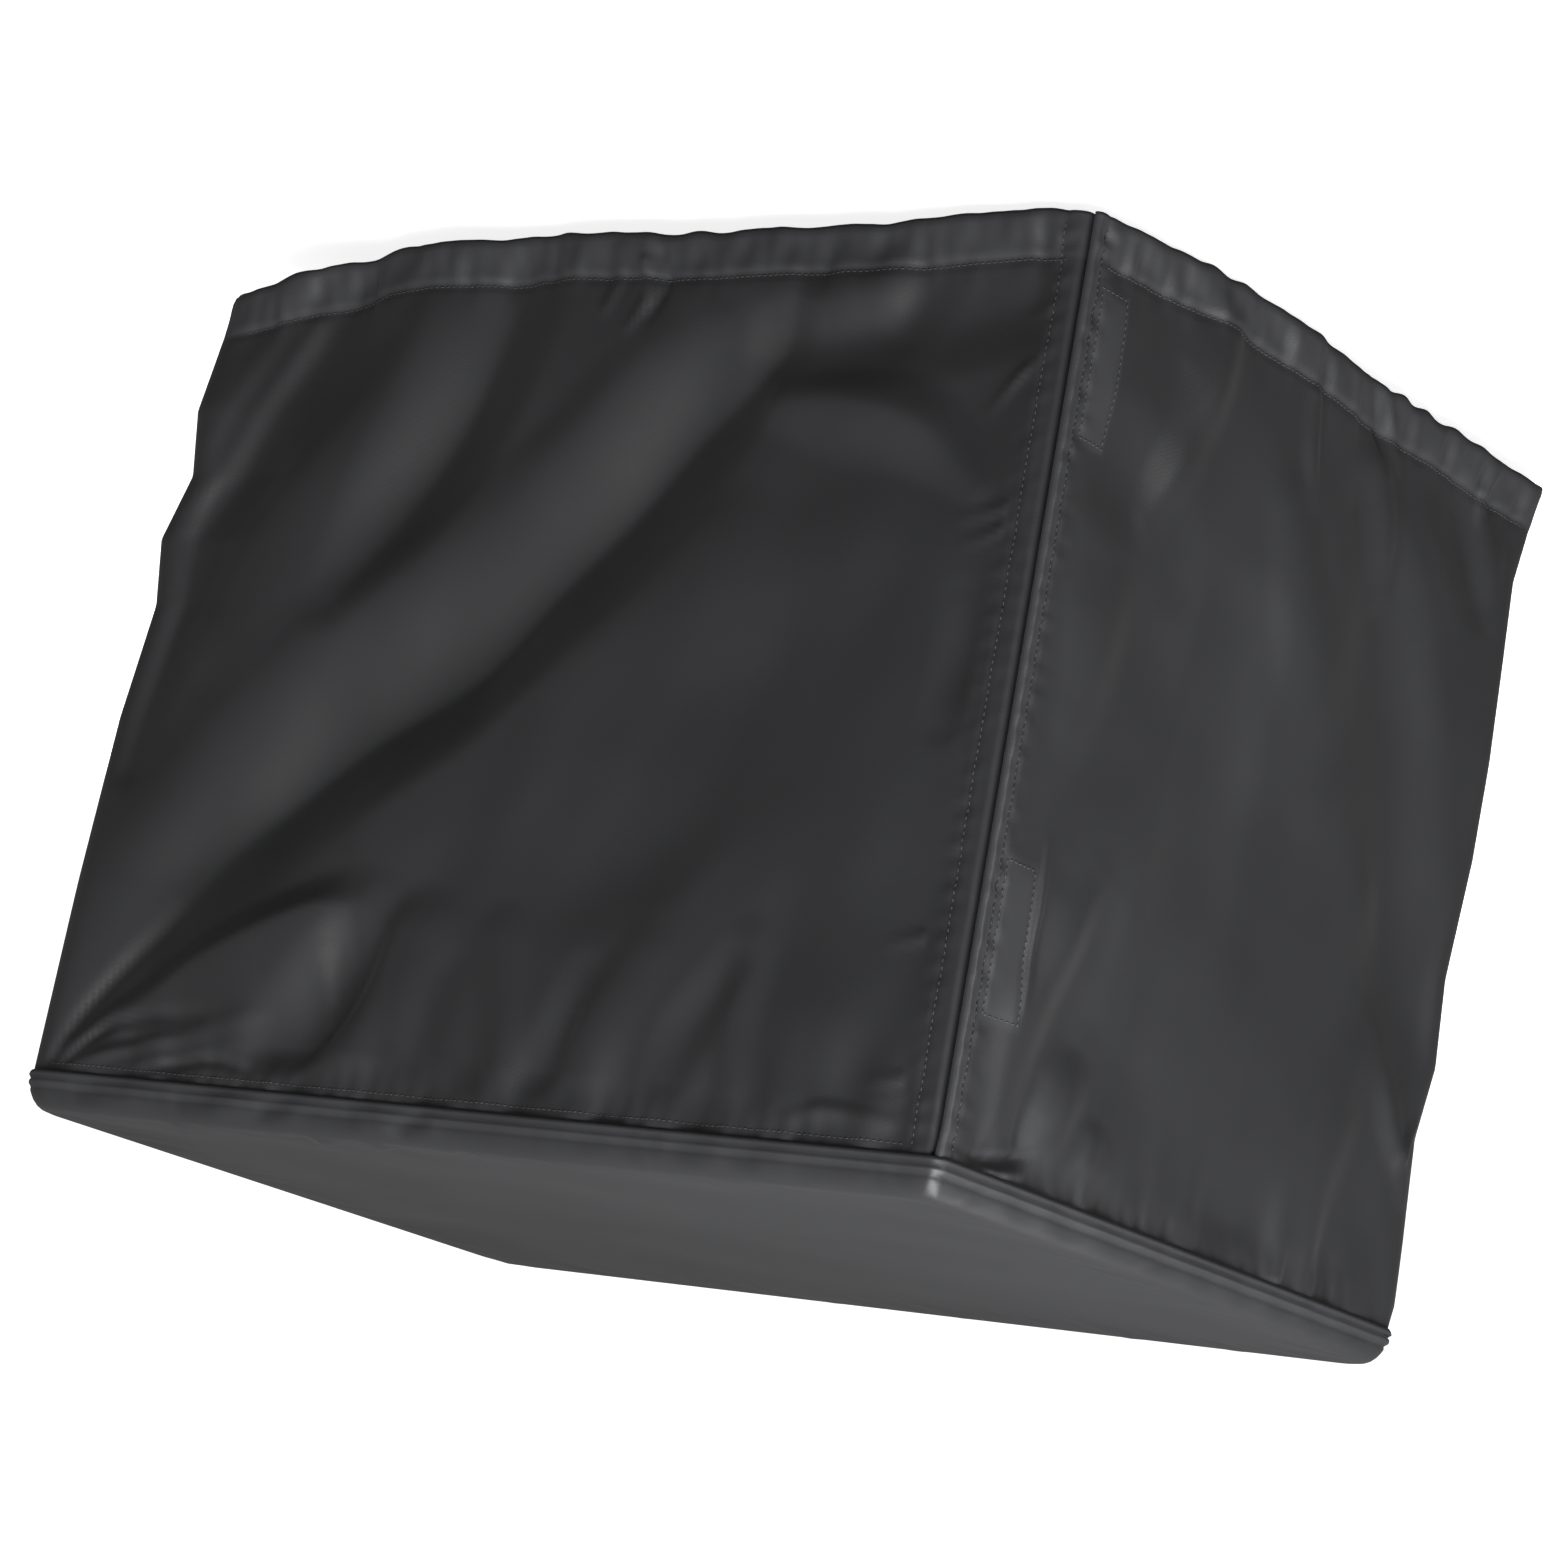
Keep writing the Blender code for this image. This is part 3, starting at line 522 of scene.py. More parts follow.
def corner_radius(corner, share):
    return blend(CORNERS[corner].seam, CORNERS[corner].hem, share)


def wall_halves(wall, share):
    """Half of the wall's own length, and its distance from the middle of the cover."""
    length = blend(SEAM_LENGTH, HEM_LENGTH, share) / 2
    width = blend(SEAM_WIDTH, HEM_WIDTH, share) / 2
    return (length, width) if wall in ("front_wall", "back_wall") else (width, length)


def rounded_end(reach, out, radius, side):
    """Half of a rounded corner, from the straight part to the corner seam."""
    stop = math.pi / 4 - GAP / radius
    angles = stop * np.arange(1, CORNER_STEPS + 1) / CORNER_STEPS
    return [(side * (reach - radius + radius * math.sin(a)), out - radius + radius * math.cos(a),
             side * math.sin(a), math.cos(a)) for a in angles]


def lap_end(reach, out):
    """The front wall's edge turned in behind the left wall, from its free edge outwards."""
    face = -reach + LAP_SETBACK
    rows = [(face, out - LAP_TURN - (LAP_DEPTH - LAP_TURN) * (1 - i / LAP_STEPS), -1.0, 0.0)
            for i in range(LAP_STEPS)]
    for i in range(TURN_STEPS):
        angle = math.pi / 2 * (1 - i / TURN_STEPS)
        rows.append((face + LAP_TURN - LAP_TURN * math.sin(angle),
                     out - LAP_TURN + LAP_TURN * math.cos(angle),
                     -math.sin(angle), math.cos(angle)))
    return rows, face + LAP_TURN


def rolled_end(reach, out, share):
    """The left wall's rolled edge, from its curled-in end outwards, flat where the top holds it."""
    proud = ROLL_PROUD * float(smooth(share * (SEAM_Z - HEM_Z) / ROLL_STARTS))
    middle_along = -reach + ROLL_RADIUS
    middle_out = out + proud - ROLL_RADIUS
    rows = []
    for i in range(ROLL_STEPS + 1):
        angle = blend(ROLL_CURL, math.pi / 2, i / ROLL_STEPS)
        rows.append((middle_along + ROLL_RADIUS * math.cos(angle),
                     middle_out + ROLL_RADIUS * math.sin(angle),
                     math.cos(angle), math.sin(angle)))
    for i in range(1, ROLL_BLEND_STEPS + 1):
        place = i / (ROLL_BLEND_STEPS + 1)
        rows.append((middle_along + ROLL_BLEND * place,
                     out + proud * (1 - float(smooth(place))), 0.0, 1.0))
    return rows, middle_along + ROLL_BLEND


def wall_section(wall, share):
    """One level line of a wall: along, out, and the outward direction, from end to end."""
    reach, out = wall_halves(wall, share)
    low, high = WALL_CORNERS[wall]
    if wall == "front_wall":
        first, start = lap_end(reach, out)
    elif wall == "left_wall":
        first, start = rolled_end(reach, out, share)
    else:
        radius = corner_radius(low, share)
        first = rounded_end(reach, out, radius, -1)[::-1]
        start = -reach + radius
    radius = corner_radius(high, share)
    places = spaced(COLUMN_BANDS[wall])
    straight = [(blend(start, reach - radius, place / places[-1]), out, 0.0, 1.0)
                for place in places]
    return first + straight + rounded_end(reach, out, radius, 1)


def seam_relief(along, drop, seed):
    """Uneven puckers that hang from the top seam and die out below it."""
    fine = ripple(along / 0.016, drop / 0.060, seed) * 0.0007 * bell(drop - 0.006, 0.012)
    broad = ripple(along / 0.045, drop / 0.160, seed + 1) * 0.0016 * bell(drop - 0.015, 0.032)
    return fine + broad


def hem_relief(along, rise, seed):
    """The stitched casing of the hem, with the crinkles that its stitching draws in."""
    inside = smooth(rise / 0.004) * smooth((CASING - rise) / 0.006)
    bulge = CASING_BULGE * inside + CASING_FLARE * smooth((CASING - rise) / CASING)
    crinkle = ripple(along / 0.017, rise / 0.045, seed) * bell(rise - 0.6 * CASING, CASING_REACH)
    broad = ripple(along / 0.050, rise / 0.090, seed + 1) * bell(rise - 0.5 * CASING, 0.030)
    groove = -STITCH_GROOVE * bell(rise - CASING, STITCH_REACH)
    return bulge + CASING_CRINKLE * crinkle + 0.0014 * broad + groove


def line_relief(distance, along_line, seed):
    """The groove of a stitch line and the small puckers on both sides of it."""
    groove = -STITCH_GROOVE * bell(distance, STITCH_REACH)
    pucker = ripple(along_line / 0.013, distance / 0.020, seed) * bell(distance, PUCKER_REACH)
    return groove + 0.0005 * pucker


def patch_relief(edge, z):
    """The tape's outline on the left wall: a flat, slightly raised patch in a stitched groove."""
    total = np.zeros(edge.shape)
    for patch in PATCHES:
        across = np.abs(edge - patch.start - patch.width / 2) - patch.width / 2
        down = np.abs(z - (patch.top + patch.bottom) / 2) - (patch.top - patch.bottom) / 2
        beyond = np.maximum(across, down)
        total += PATCH_PROUD * smooth((0.001 - beyond) / 0.003)
        total -= STITCH_GROOVE * bell(beyond + 0.002, 0.0014)
    return total


def unevenness(along, z, seed):
    """Slow dents and swells of slack cloth."""
    return (ripple(along / 0.17, z / 0.21, seed) * 0.0016
            + ripple(along / 0.060, z / 0.080, seed + 1) * 0.0004)


def painted_highlight_share(wall, edge, z, rise):
    """Painted highlight: how much the cloth's colour is lightened where it is doubled, sewn or pressed
    flat, standing in for the light it catches there.
    """
    casing = smooth((CASING - rise) / 0.003)
    if wall == "front_wall":
        strip = 0.25 * smooth((STRIP_LINE - edge) / 0.002)
        return np.maximum(0.9 * casing, strip)
    if wall == "left_wall":
        total = 0.9 * casing
        for patch in PATCHES:
            across = np.abs(edge - patch.start - patch.width / 2) - patch.width / 2
            down = np.abs(z - (patch.top + patch.bottom) / 2) - (patch.top - patch.bottom) / 2
            total = np.maximum(total, 0.7 * smooth((0.001 - np.maximum(across, down)) / 0.002))
        return np.maximum(total, 0.6 * smooth((ROLL_LINE - edge) / 0.002))
    return 0.9 * casing


def to_plan(wall, along, out):
    """World X and Y of places along a wall and out from the middle."""
    return {
        "front_wall": (along, -out),
        "left_wall": (-out, along),
        "back_wall": (along, out),
        "right_wall": (out, along),
    }[wall]


def hung_wall(wall, seed):
    """Points of the wall's outer face, hung with its folds, seams and slumped corners."""
    shares = spaced(ROW_BANDS) / ROW_BANDS[-1].until
    sections = np.array([wall_section(wall, share) for share in shares])
    along, out, along_face, out_face = np.moveaxis(sections, 2, 0)
    shares = shares[:, None]
    reach, _ = wall_halves(wall, shares)
    hem = hem_height(wall, along)
    z = blend(SEAM_Z - GAP, hem, shares)
    low, high = WALL_CORNERS[wall]
    drop = SEAM_Z - z
    rise = z - hem
    edge = along + reach
    from_seam = smooth((drop - SEAM_ROW * (SEAM_Z - HEM_Z)) / SEAM_FADE)
    from_corner = np.ones(along.shape)
    for side, corner in ((-1, low), (1, high)):
        held = ROLL_BLEND if corner == "near" else 0.25 * corner_radius(corner, shares)
        from_corner = from_corner * smooth((reach - side * along - held) / CORNER_FADE)
    near_seam = smooth(drop / CREASE_FADE)
    push = from_seam * from_corner * (fold_push(FOLDS[wall], along, z)
                                      + unevenness(along, z, seed))
    push += near_seam * np.sqrt(from_corner) * fold_push(CREASES[wall], along, z)
    push += near_seam * from_corner * seam_relief(along, drop, seed + 10)
    push += np.sqrt(from_corner) * hem_relief(along, rise, seed + 20)
    body = smooth(out_face)
    if wall == "front_wall":
        push += near_seam * body * line_relief(edge - STRIP_LINE, z, seed + 30)
    if wall == "left_wall":
        push += near_seam * body * line_relief(edge - ROLL_LINE, z, seed + 30)
        push += patch_relief(edge, z)
    x, y = to_plan(wall, along + push * along_face, out + push * out_face)
    for side, corner in ((-1, low), (1, high)):
        shift_x, shift_y = slump_at(corner, z)
        weight = bell(np.maximum(reach - side * along - 0.3 * corner_radius(corner, shares), 0),
                      SLUMP_REACH)
        x = x + weight * shift_x
        y = y + weight * shift_y
    z = z + 0.0008 * ripple(along / 0.030, 0.0, seed + 40) * bell(rise, 0.012) * from_corner
    return np.stack([x, y, z], axis=2), painted_highlight_share(wall, edge, z, rise)


def add_painted_highlight(obj, shares):
    """Keeps each point's share of painted highlight, which lightens the cloth's colour."""
    layer = obj.data.attributes.new("painted_highlight", "FLOAT", "POINT")
    layer.data.foreach_set("value", np.asarray(shares, float).ravel())


def thicken(obj, thickness):
    """The cloth's own thickness, inwards from its outer face."""
    solid = obj.modifiers.new("cloth thickness", "SOLIDIFY")
    solid.thickness = thickness
    solid.offset = -1.0
    solid.use_even_offset = True


def mesh_object(name, points, faces, material):
    mesh = bpy.data.meshes.new(name)
    mesh.from_pydata([tuple(point) for point in points], [], faces)
    mesh.polygons.foreach_set("use_smooth", [True] * len(mesh.polygons))
    mesh.materials.append(material)
    obj = bpy.data.objects.new(name, mesh)
    bpy.context.scene.collection.objects.link(obj)
    return obj


def make_wall(wall, seed, material):
    grid, painted_highlight = hung_wall(wall, seed)
    rows, columns = grid.shape[:2]
    faces = []
    for row in range(rows - 1):
        for column in range(columns - 1):
            a = row * columns + column
            face = (a, a + columns, a + columns + 1, a + 1)
            faces.append(face[::-1] if wall in ("left_wall", "back_wall") else face)
    obj = mesh_object(wall + "_cloth", grid.reshape(-1, 3), faces, material)
    # Painted highlight share along the hem casing, seam strip, rolled edge and tape outlines, carried to
    # the cloth's colour
    add_painted_highlight(obj, painted_highlight)
    thicken(obj, SHEET)
    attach(obj, "root")
    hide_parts(wall)
    cut_length = (SEAM_LENGTH if wall in ("front_wall", "back_wall") else SEAM_WIDTH)
    if wall == "front_wall":
        cut_length += LAP_DEPTH
    return obj


# Top panel: offset out from the seam outline and height, from its lapped edge inwards
Ring = namedtuple("Ring", "out z ridge")
TOP_RINGS = (
    Ring(0.0015, SEAM_Z - 0.0018, 0.0),
    Ring(0.0019, SEAM_Z - 0.0006, 0.4),
    Ring(0.0016, SEAM_Z + 0.0008, 1.0),
    Ring(0.0010, SEAM_Z + 0.0026, -0.2),
    Ring(0.0010, SEAM_Z + 0.0042, 0.8),
    Ring(0.0008, SEAM_Z + 0.0058, 0.8),
    Ring(0.0001, SEAM_Z + 0.0078, -0.5),
    Ring(-0.0002, SEAM_Z + 0.0096, 0.0),
    Ring(-0.0010, SEAM_Z + 0.0120, 0.0),
    Ring(-0.0022, SEAM_Z + 0.0148, 0.0),
    Ring(-0.0040, RIM_Z - 0.0026, 0.0),
    Ring(-0.0060, RIM_Z - 0.0010, 0.0),
    Ring(-RIM_INSET, RIM_Z - 0.0002, 0.0),
    Ring(-0.0125, RIM_Z, 0.0),
    Ring(-0.0180, RIM_Z - 0.0004, 0.0),
    Ring(-0.0250, 0.0052, 0.0),
    Ring(-0.0300, 0.0049, 0.0),
    Ring(-0.0350, 0.0047, 0.0),
    Ring(-0.0420, 0.0044, 0.0),
    Ring(-0.0500, 0.0041, 0.0),
    Ring(-0.0600, 0.0038, 0.0),
    Ring(-0.0700, 0.0035, 0.0),
    Ring(-0.0800, 0.0032, 0.0),
    Ring(-0.0900, 0.0030, 0.0),
    Ring(-0.1150, 0.0025, 0.0),
    Ring(-0.1400, 0.0020, 0.0),
    Ring(-0.1650, 0.0018, 0.0),
    Ring(-0.1900, SAG_Z, 0.0),
)
RIDGE = 0.0007
LEFT_RIDGE = 0.0014
TOP_LONG_STEPS = 170
TOP_SHORT_STEPS = 110
TOP_CORNER_STEPS = 10
INNER_RING_ROUNDING = 0.03


def outline(out):
    """Plan outline at this offset from the seam, with each point's outward direction."""
    half_x = SEAM_LENGTH / 2 + out
    half_y = SEAM_WIDTH / 2 + out
    names = ("near", "front_right", "back_right", "back_left")
    radii = [CORNERS[name].seam + max(out, -INNER_RING_ROUNDING * abs(out) * -1) for name in names]
    signs = ((-1, -1), (1, -1), (1, 1), (-1, 1))
    points = []
    for i in range(4):
        (sx, sy), radius = signs[i], radii[i]
        turn = math.pi + i * math.pi / 2
        for step in range(TOP_CORNER_STEPS + 1):
            angle = turn + math.pi / 2 * step / TOP_CORNER_STEPS
            points.append((sx * (half_x - radius) + radius * math.cos(angle),
                           sy * (half_y - radius) + radius * math.sin(angle),
                           math.cos(angle), math.sin(angle)))
        (nx, ny), next_radius = signs[(i + 1) % 4], radii[(i + 1) % 4]
        start = points[-1]
        angle = turn + math.pi / 2
        stop = (nx * (half_x - next_radius) + next_radius * math.cos(angle),
                ny * (half_y - next_radius) + next_radius * math.sin(angle))
        steps = TOP_LONG_STEPS if i % 2 == 0 else TOP_SHORT_STEPS
        for step in range(1, steps):
            share = step / steps
            points.append((blend(start[0], stop[0], share), blend(start[1], stop[1], share),
                           math.cos(angle), math.sin(angle)))
    return np.array(points)


# Creases of the flat top: power, and rows of place along X, along Y, two reaches, push upwards
TOP_CREASES = {
    "rim_dent_a": (1.6, (
        (-0.014, -0.226, 0.004, 0.004, -0.0010), (0.000, -0.204, 0.005, 0.005, -0.0024),
        (0.016, -0.176, 0.005, 0.005, -0.0004))),
    "rim_ridge_a": (1.6, (
        (0.050, -0.226, 0.005, 0.005, 0.0012), (0.066, -0.196, 0.006, 0.006, 0.0024),
        (0.086, -0.164, 0.006, 0.006, 0.0004))),
    "rim_ridge_b": (1.6, (
        (0.092, -0.228, 0.005, 0.005, 0.0014), (0.108, -0.200, 0.006, 0.006, 0.0028),
        (0.130, -0.162, 0.006, 0.006, 0.0004))),
    "rim_dent_b": (1.6, (
        (0.112, -0.228, 0.005, 0.005, -0.0014), (0.128, -0.200, 0.006, 0.006, -0.0024),
        (0.146, -0.172, 0.006, 0.006, -0.0004))),
    "rim_ridge_c": (1.7, (
        (0.200, -0.226, 0.007, 0.007, 0.0012), (0.232, -0.190, 0.008, 0.008, 0.0024),
        (0.270, -0.150, 0.008, 0.008, 0.0004))),
    "far_sag": (2.0, (
        (0.110, -0.150, 0.026, 0.026, -0.0010), (0.220, -0.158, 0.030, 0.030, -0.0024),
        (0.320, -0.150, 0.026, 0.026, -0.0010))),
}

# Puckers in the margin along the front edge: place along X, reach, push outwards, slant
MARGIN_PUCKERS = (
    (-0.060, 0.030, 0.0008, 0.3),
    (0.000, 0.010, 0.0012, 0.8),
    (0.020, 0.008, -0.0014, 0.8),
    (0.050, 0.012, 0.0016, -0.5),
    (0.078, 0.008, -0.0014, -0.5),
    (0.105, 0.010, 0.0016, 0.9),
    (0.128, 0.009, -0.0014, 0.9),
    (0.165, 0.016, 0.0018, 0.4),
    (0.200, 0.010, -0.0012, 0.4),
    (0.240, 0.018, 0.0014, 0.2),
    (0.280, 0.012, -0.0012, 0.2),
)


def margin_relief(x, y, z):
    """Puckers of the top panel's margin, strongest halfway between the seam and the rim."""
    share = np.clip((z - SEAM_Z) / (RIM_Z - SEAM_Z), 0.0, 1.0)
    middle = np.sin(math.pi * share)
    front = smooth((-SEAM_WIDTH / 2 + 0.020 - y) / 0.010)
    total = np.zeros(x.shape)
    for along, reach, push, slant in MARGIN_PUCKERS:
        total += push * bell(x - along - slant * (z - SEAM_Z), reach)
    around = ripple((x + y) / 0.018, z / 0.030, 71) * 0.0003 + ripple((x - y) / 0.05, z / 0.06, 72) * 0.0005
    return middle * (front * total + around)


def top_relief(x, y):
    """Slow dents of the flat top, and the pull of its seam near the rim."""
    inset = np.minimum(SEAM_LENGTH / 2 - np.abs(x), SEAM_WIDTH / 2 - np.abs(y))
    slow = ripple(x / 0.20, y / 0.16, 81) * 0.0012
    pull = ripple((x + y) / 0.035, (x - y) / 0.12, 82) * 0.0005 * bell(inset - 0.020, 0.018)
    creases = fold_push(TOP_CREASES, x, y)
    return (smooth((inset - 0.008) / 0.030) * slow
            + smooth((inset - 0.006) / 0.010) * (pull + creases))


def make_top(material):
    levels = []
    for ring in TOP_RINGS:
        x, y, face_x, face_y = outline(ring.out).T
        left = smooth(-face_x * 1.5)
        ridge = ring.ridge * blend(RIDGE, LEFT_RIDGE, left)
        push = ridge + margin_relief(x, y, np.full(x.shape, ring.z))
        inner = ring.out <= -0.0125
        z = ring.z + (top_relief(x, y) if inner else 0.0)
        levels.append(np.stack([x + push * face_x, y + push * face_y, np.broadcast_to(z, x.shape)],
                               axis=1))
    around = len(levels[0])
    faces = []
    for ring in range(len(TOP_RINGS) - 1):
        for i in range(around):
            a = ring * around + i
            b = ring * around + (i + 1) % around
            faces.append((a, b, b + around, a + around))
    last = (len(TOP_RINGS) - 1) * around
    middle = len(TOP_RINGS) * around
    levels.append(np.array([[0.0, 0.0, SAG_Z]]))
    faces += [(last + i, last + (i + 1) % around, middle) for i in range(around)]
    points = np.concatenate(levels)
    obj = mesh_object("top_panel_cloth", points, faces, material)
    # Painted highlight on the top panel's margin, just above the seam
    add_painted_highlight(obj, 0.4 * smooth((SEAM_Z + 0.010 - points[:, 2]) / 0.002))
    thicken(obj, SHEET)
    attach(obj, "root")
    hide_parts("top_panel")
    return obj


# Stitches
STITCH_PITCH = 0.0040
STITCH_LENGTH = 0.0030
STITCH_RADIUS = 0.00042
STITCH_SIDES = 5


def cloth_tree(obj):
    """The outer face of a cloth, for laying stitches on it."""
    vertices = [vertex.co.copy() for vertex in obj.data.vertices]
    return BVHTree.FromPolygons(vertices, [tuple(face.vertices) for face in obj.data.polygons])


def laid_path(tree, places, inward):
    """Points and normals where rays from outside meet the cloth."""
    path = []
    for place in places:
        found, normal, _, _ = tree.ray_cast(Vector(place) - 0.06 * inward, inward, 0.15)
        if found is not None:
            path.append((found, normal if normal.dot(inward) < 0 else -normal))
    return path


def add_stitch(points, faces, centre, direction, normal):
    """One lockstitch: a short spindle of thread lying in the cloth."""
    side = normal.cross(direction).normalized()
    base = len(points)
    centre = centre + normal * (0.35 * STITCH_RADIUS)
    points.append(centre - direction * (STITCH_LENGTH / 2) - normal * STITCH_RADIUS)
    for place in (-0.30, 0.30):
        for k in range(STITCH_SIDES):
            angle = 2 * math.pi * k / STITCH_SIDES
            points.append(centre + direction * (place * STITCH_LENGTH)
                          + (side * math.cos(angle) + normal * math.sin(angle)) * STITCH_RADIUS)
    points.append(centre + direction * (STITCH_LENGTH / 2) - normal * STITCH_RADIUS)
    first, second, end = base + 1, base + 1 + STITCH_SIDES, base + 1 + 2 * STITCH_SIDES
    for k in range(STITCH_SIDES):
        n = (k + 1) % STITCH_SIDES
        faces.append((base, first + n, first + k))
        faces.append((first + k, first + n, second + n, second + k))
        faces.append((second + k, second + n, end))


def stitch_lines(name, paths, material):
    """Rows of stitches along the paths, each path a list of points and normals on the cloth."""
    points, faces = [], []
    for path in paths:
        travelled = 0.0
        due = STITCH_PITCH / 2
        for (start, normal), (end, _) in zip(path[:-1], path[1:]):
            length = (end - start).length
            if length < 1e-7:
                continue
            direction = (end - start) / length
            while due <= travelled + length:
                add_stitch(points, faces, start + direction * (due - travelled), direction, normal)
                due += STITCH_PITCH
            travelled += length
    obj = mesh_object(name, points, faces, material)
    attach(obj, "root")
    return obj


def front_stitching(cloth, material):
    tree = cloth_tree(cloth)
    inward = Vector((0, 1, 0))
    half, out = wall_halves("front_wall", 0.5)
    strip, hem, seam = [], [], []
    for share in np.linspace(0.012, 0.985, 130):
        reach, _ = wall_halves("front_wall", share)
        along = -reach + STRIP_LINE
        strip.append((along, -out, blend(SEAM_Z, float(hem_height("front_wall", along)), share)))
    for along in np.linspace(-half + STRIP_LINE, half - 0.050, 170):
        hem.append((along, -out, float(hem_height("front_wall", along)) + CASING))
    for along in np.linspace(-half + STRIP_LINE, half - 0.020, 170):
        seam.append((along, -out, SEAM_Z - 0.0065))
    paths = [laid_path(tree, places, inward) for places in (strip, hem, seam)]
    return stitch_lines("front_wall_stitching", paths, material)


def left_stitching(cloth, material):
    tree = cloth_tree(cloth)
    inward = Vector((1, 0, 0))
    half, out = wall_halves("left_wall", 0.5)
    edge, hem = [], []
    for share in np.linspace(0.012, 0.985, 130):
        reach, _ = wall_halves("left_wall", share)
        along = -reach + ROLL_LINE
        edge.append((-out, along, blend(SEAM_Z, float(hem_height("left_wall", along)), share)))
    for along in np.linspace(-half + ROLL_LINE, half - 0.020, 120):
        hem.append((-out, along, float(hem_height("left_wall", along)) + CASING))
    paths = [laid_path(tree, places, inward) for places in (edge, hem)]
    for patch in PATCHES:
        top_reach, _ = wall_halves("left_wall", (SEAM_Z - patch.top) / (SEAM_Z - HEM_Z))
        low_reach, _ = wall_halves("left_wall", (SEAM_Z - patch.bottom) / (SEAM_Z - HEM_Z))
        inset = 0.002
        corners = [(-top_reach + patch.start + inset, patch.top - inset),
                   (-top_reach + patch.start + patch.width - inset, patch.top - inset),
                   (-low_reach + patch.start + patch.width - inset, patch.bottom + inset),
                   (-low_reach + patch.start + inset, patch.bottom + inset)]
        places = []
        for (a, za), (b, zb) in zip(corners, corners[1:] + corners[:1]):
            places += [(-out, blend(a, b, s), blend(za, zb, s)) for s in np.linspace(0, 1, 24)]
        paths.append(laid_path(tree, places, inward))
    return stitch_lines("left_wall_stitching", paths, material)


# Cloth finish
CLOTH_DARK = (0.0135, 0.0138, 0.0148, 1.0)
# CLOTH_LIGHT is the lighter end both of the random tone and of the painted highlight
CLOTH_LIGHT = (0.0300, 0.0305, 0.0330, 1.0)
TAPE_COLOUR = (0.012, 0.012, 0.013, 1.0)
THREAD_COLOUR = (0.030, 0.030, 0.032, 1.0)
WEAVE_SCALE = 1500.0
WEAVE_BUMP = 0.10
SLUB_SCALE = 260.0


def node(tree, kind, **inputs):
    made = tree.nodes.new(kind)
    for name, value in inputs.items():
        made.inputs[name.replace("_", " ")].default_value = value
    return made


def coated_cloth(name, dark, light):
    """Coated woven polyester: satin, with a fine weave, slubs, slight rubbed and dusty areas, and a painted
    highlight that lightens the colour where the cloth is doubled, sewn or pressed flat.
    """
    material = bpy.data.materials.new(name)
    material.use_nodes = True
    tree = material.node_tree
    shader = tree.nodes["Principled BSDF"]
    link = tree.links.new
    place = tree.nodes.new("ShaderNodeTexCoord").outputs["Object"]

    broad = node(tree, "ShaderNodeTexNoise", Scale=5.0, Detail=3.0, Roughness=0.55)
    slubs = node(tree, "ShaderNodeTexNoise", Scale=SLUB_SCALE, Detail=2.0, Roughness=0.6)
    link(place, broad.inputs["Vector"])
    link(place, slubs.inputs["Vector"])

    # Painted highlight: the stored share lightens the base colour towards CLOTH_LIGHT on the hem casing,
    # seam strip, rolled edge, tape outlines and top margin, on top of the random tone
    painted_highlight = tree.nodes.new("ShaderNodeAttribute")
    painted_highlight.attribute_name = "painted_highlight"
    random_tone_and_painted_highlight = tree.nodes.new("ShaderNodeMath")
    random_tone_and_painted_highlight.operation = "MULTIPLY_ADD"
    random_tone_and_painted_highlight.use_clamp = True
    link(broad.outputs["Fac"], random_tone_and_painted_highlight.inputs[0])
    random_tone_and_painted_highlight.inputs[1].default_value = 0.5
    link(painted_highlight.outputs["Fac"], random_tone_and_painted_highlight.inputs[2])
    colour = tree.nodes.new("ShaderNodeMix")
    colour.data_type = "RGBA"
    colour.inputs[6].default_value = dark
    colour.inputs[7].default_value = light
    link(random_tone_and_painted_highlight.outputs["Value"], colour.inputs[0])
    link(colour.outputs[2], shader.inputs["Base Color"])

    gloss = node(tree, "ShaderNodeMapRange")
    gloss.inputs["To Min"].default_value = 0.42
    gloss.inputs["To Max"].default_value = 0.54
    link(broad.outputs["Fac"], gloss.inputs["Value"])
    link(gloss.outputs["Result"], shader.inputs["Roughness"])

    weave = tree.nodes.new("ShaderNodeTexWave")
    weave.inputs["Scale"].default_value = WEAVE_SCALE / (2 * math.pi)
    weave.inputs["Distortion"].default_value = 0.6
    weave.bands_direction = "Z"
    link(place, weave.inputs["Vector"])
    warp = tree.nodes.new("ShaderNodeTexWave")
    warp.inputs["Scale"].default_value = WEAVE_SCALE / (2 * math.pi)
    warp.inputs["Distortion"].default_value = 0.6
    warp.bands_direction = "DIAGONAL"
    link(place, warp.inputs["Vector"])
    both = tree.nodes.new("ShaderNodeMath")
    both.operation = "MULTIPLY_ADD"
    link(weave.outputs["Fac"], both.inputs[0])
    link(warp.outputs["Fac"], both.inputs[1])
    link(slubs.outputs["Fac"], both.inputs[2])
    bump = node(tree, "ShaderNodeBump", Strength=WEAVE_BUMP, Distance=0.0003)
    link(both.outputs["Value"], bump.inputs["Height"])
    link(bump.outputs["Normal"], shader.inputs["Normal"])

    shader.inputs["Specular IOR Level"].default_value = 0.5
    shader.inputs["Sheen Weight"].default_value = 0.04
    shader.inputs["Sheen Roughness"].default_value = 0.4
    return material


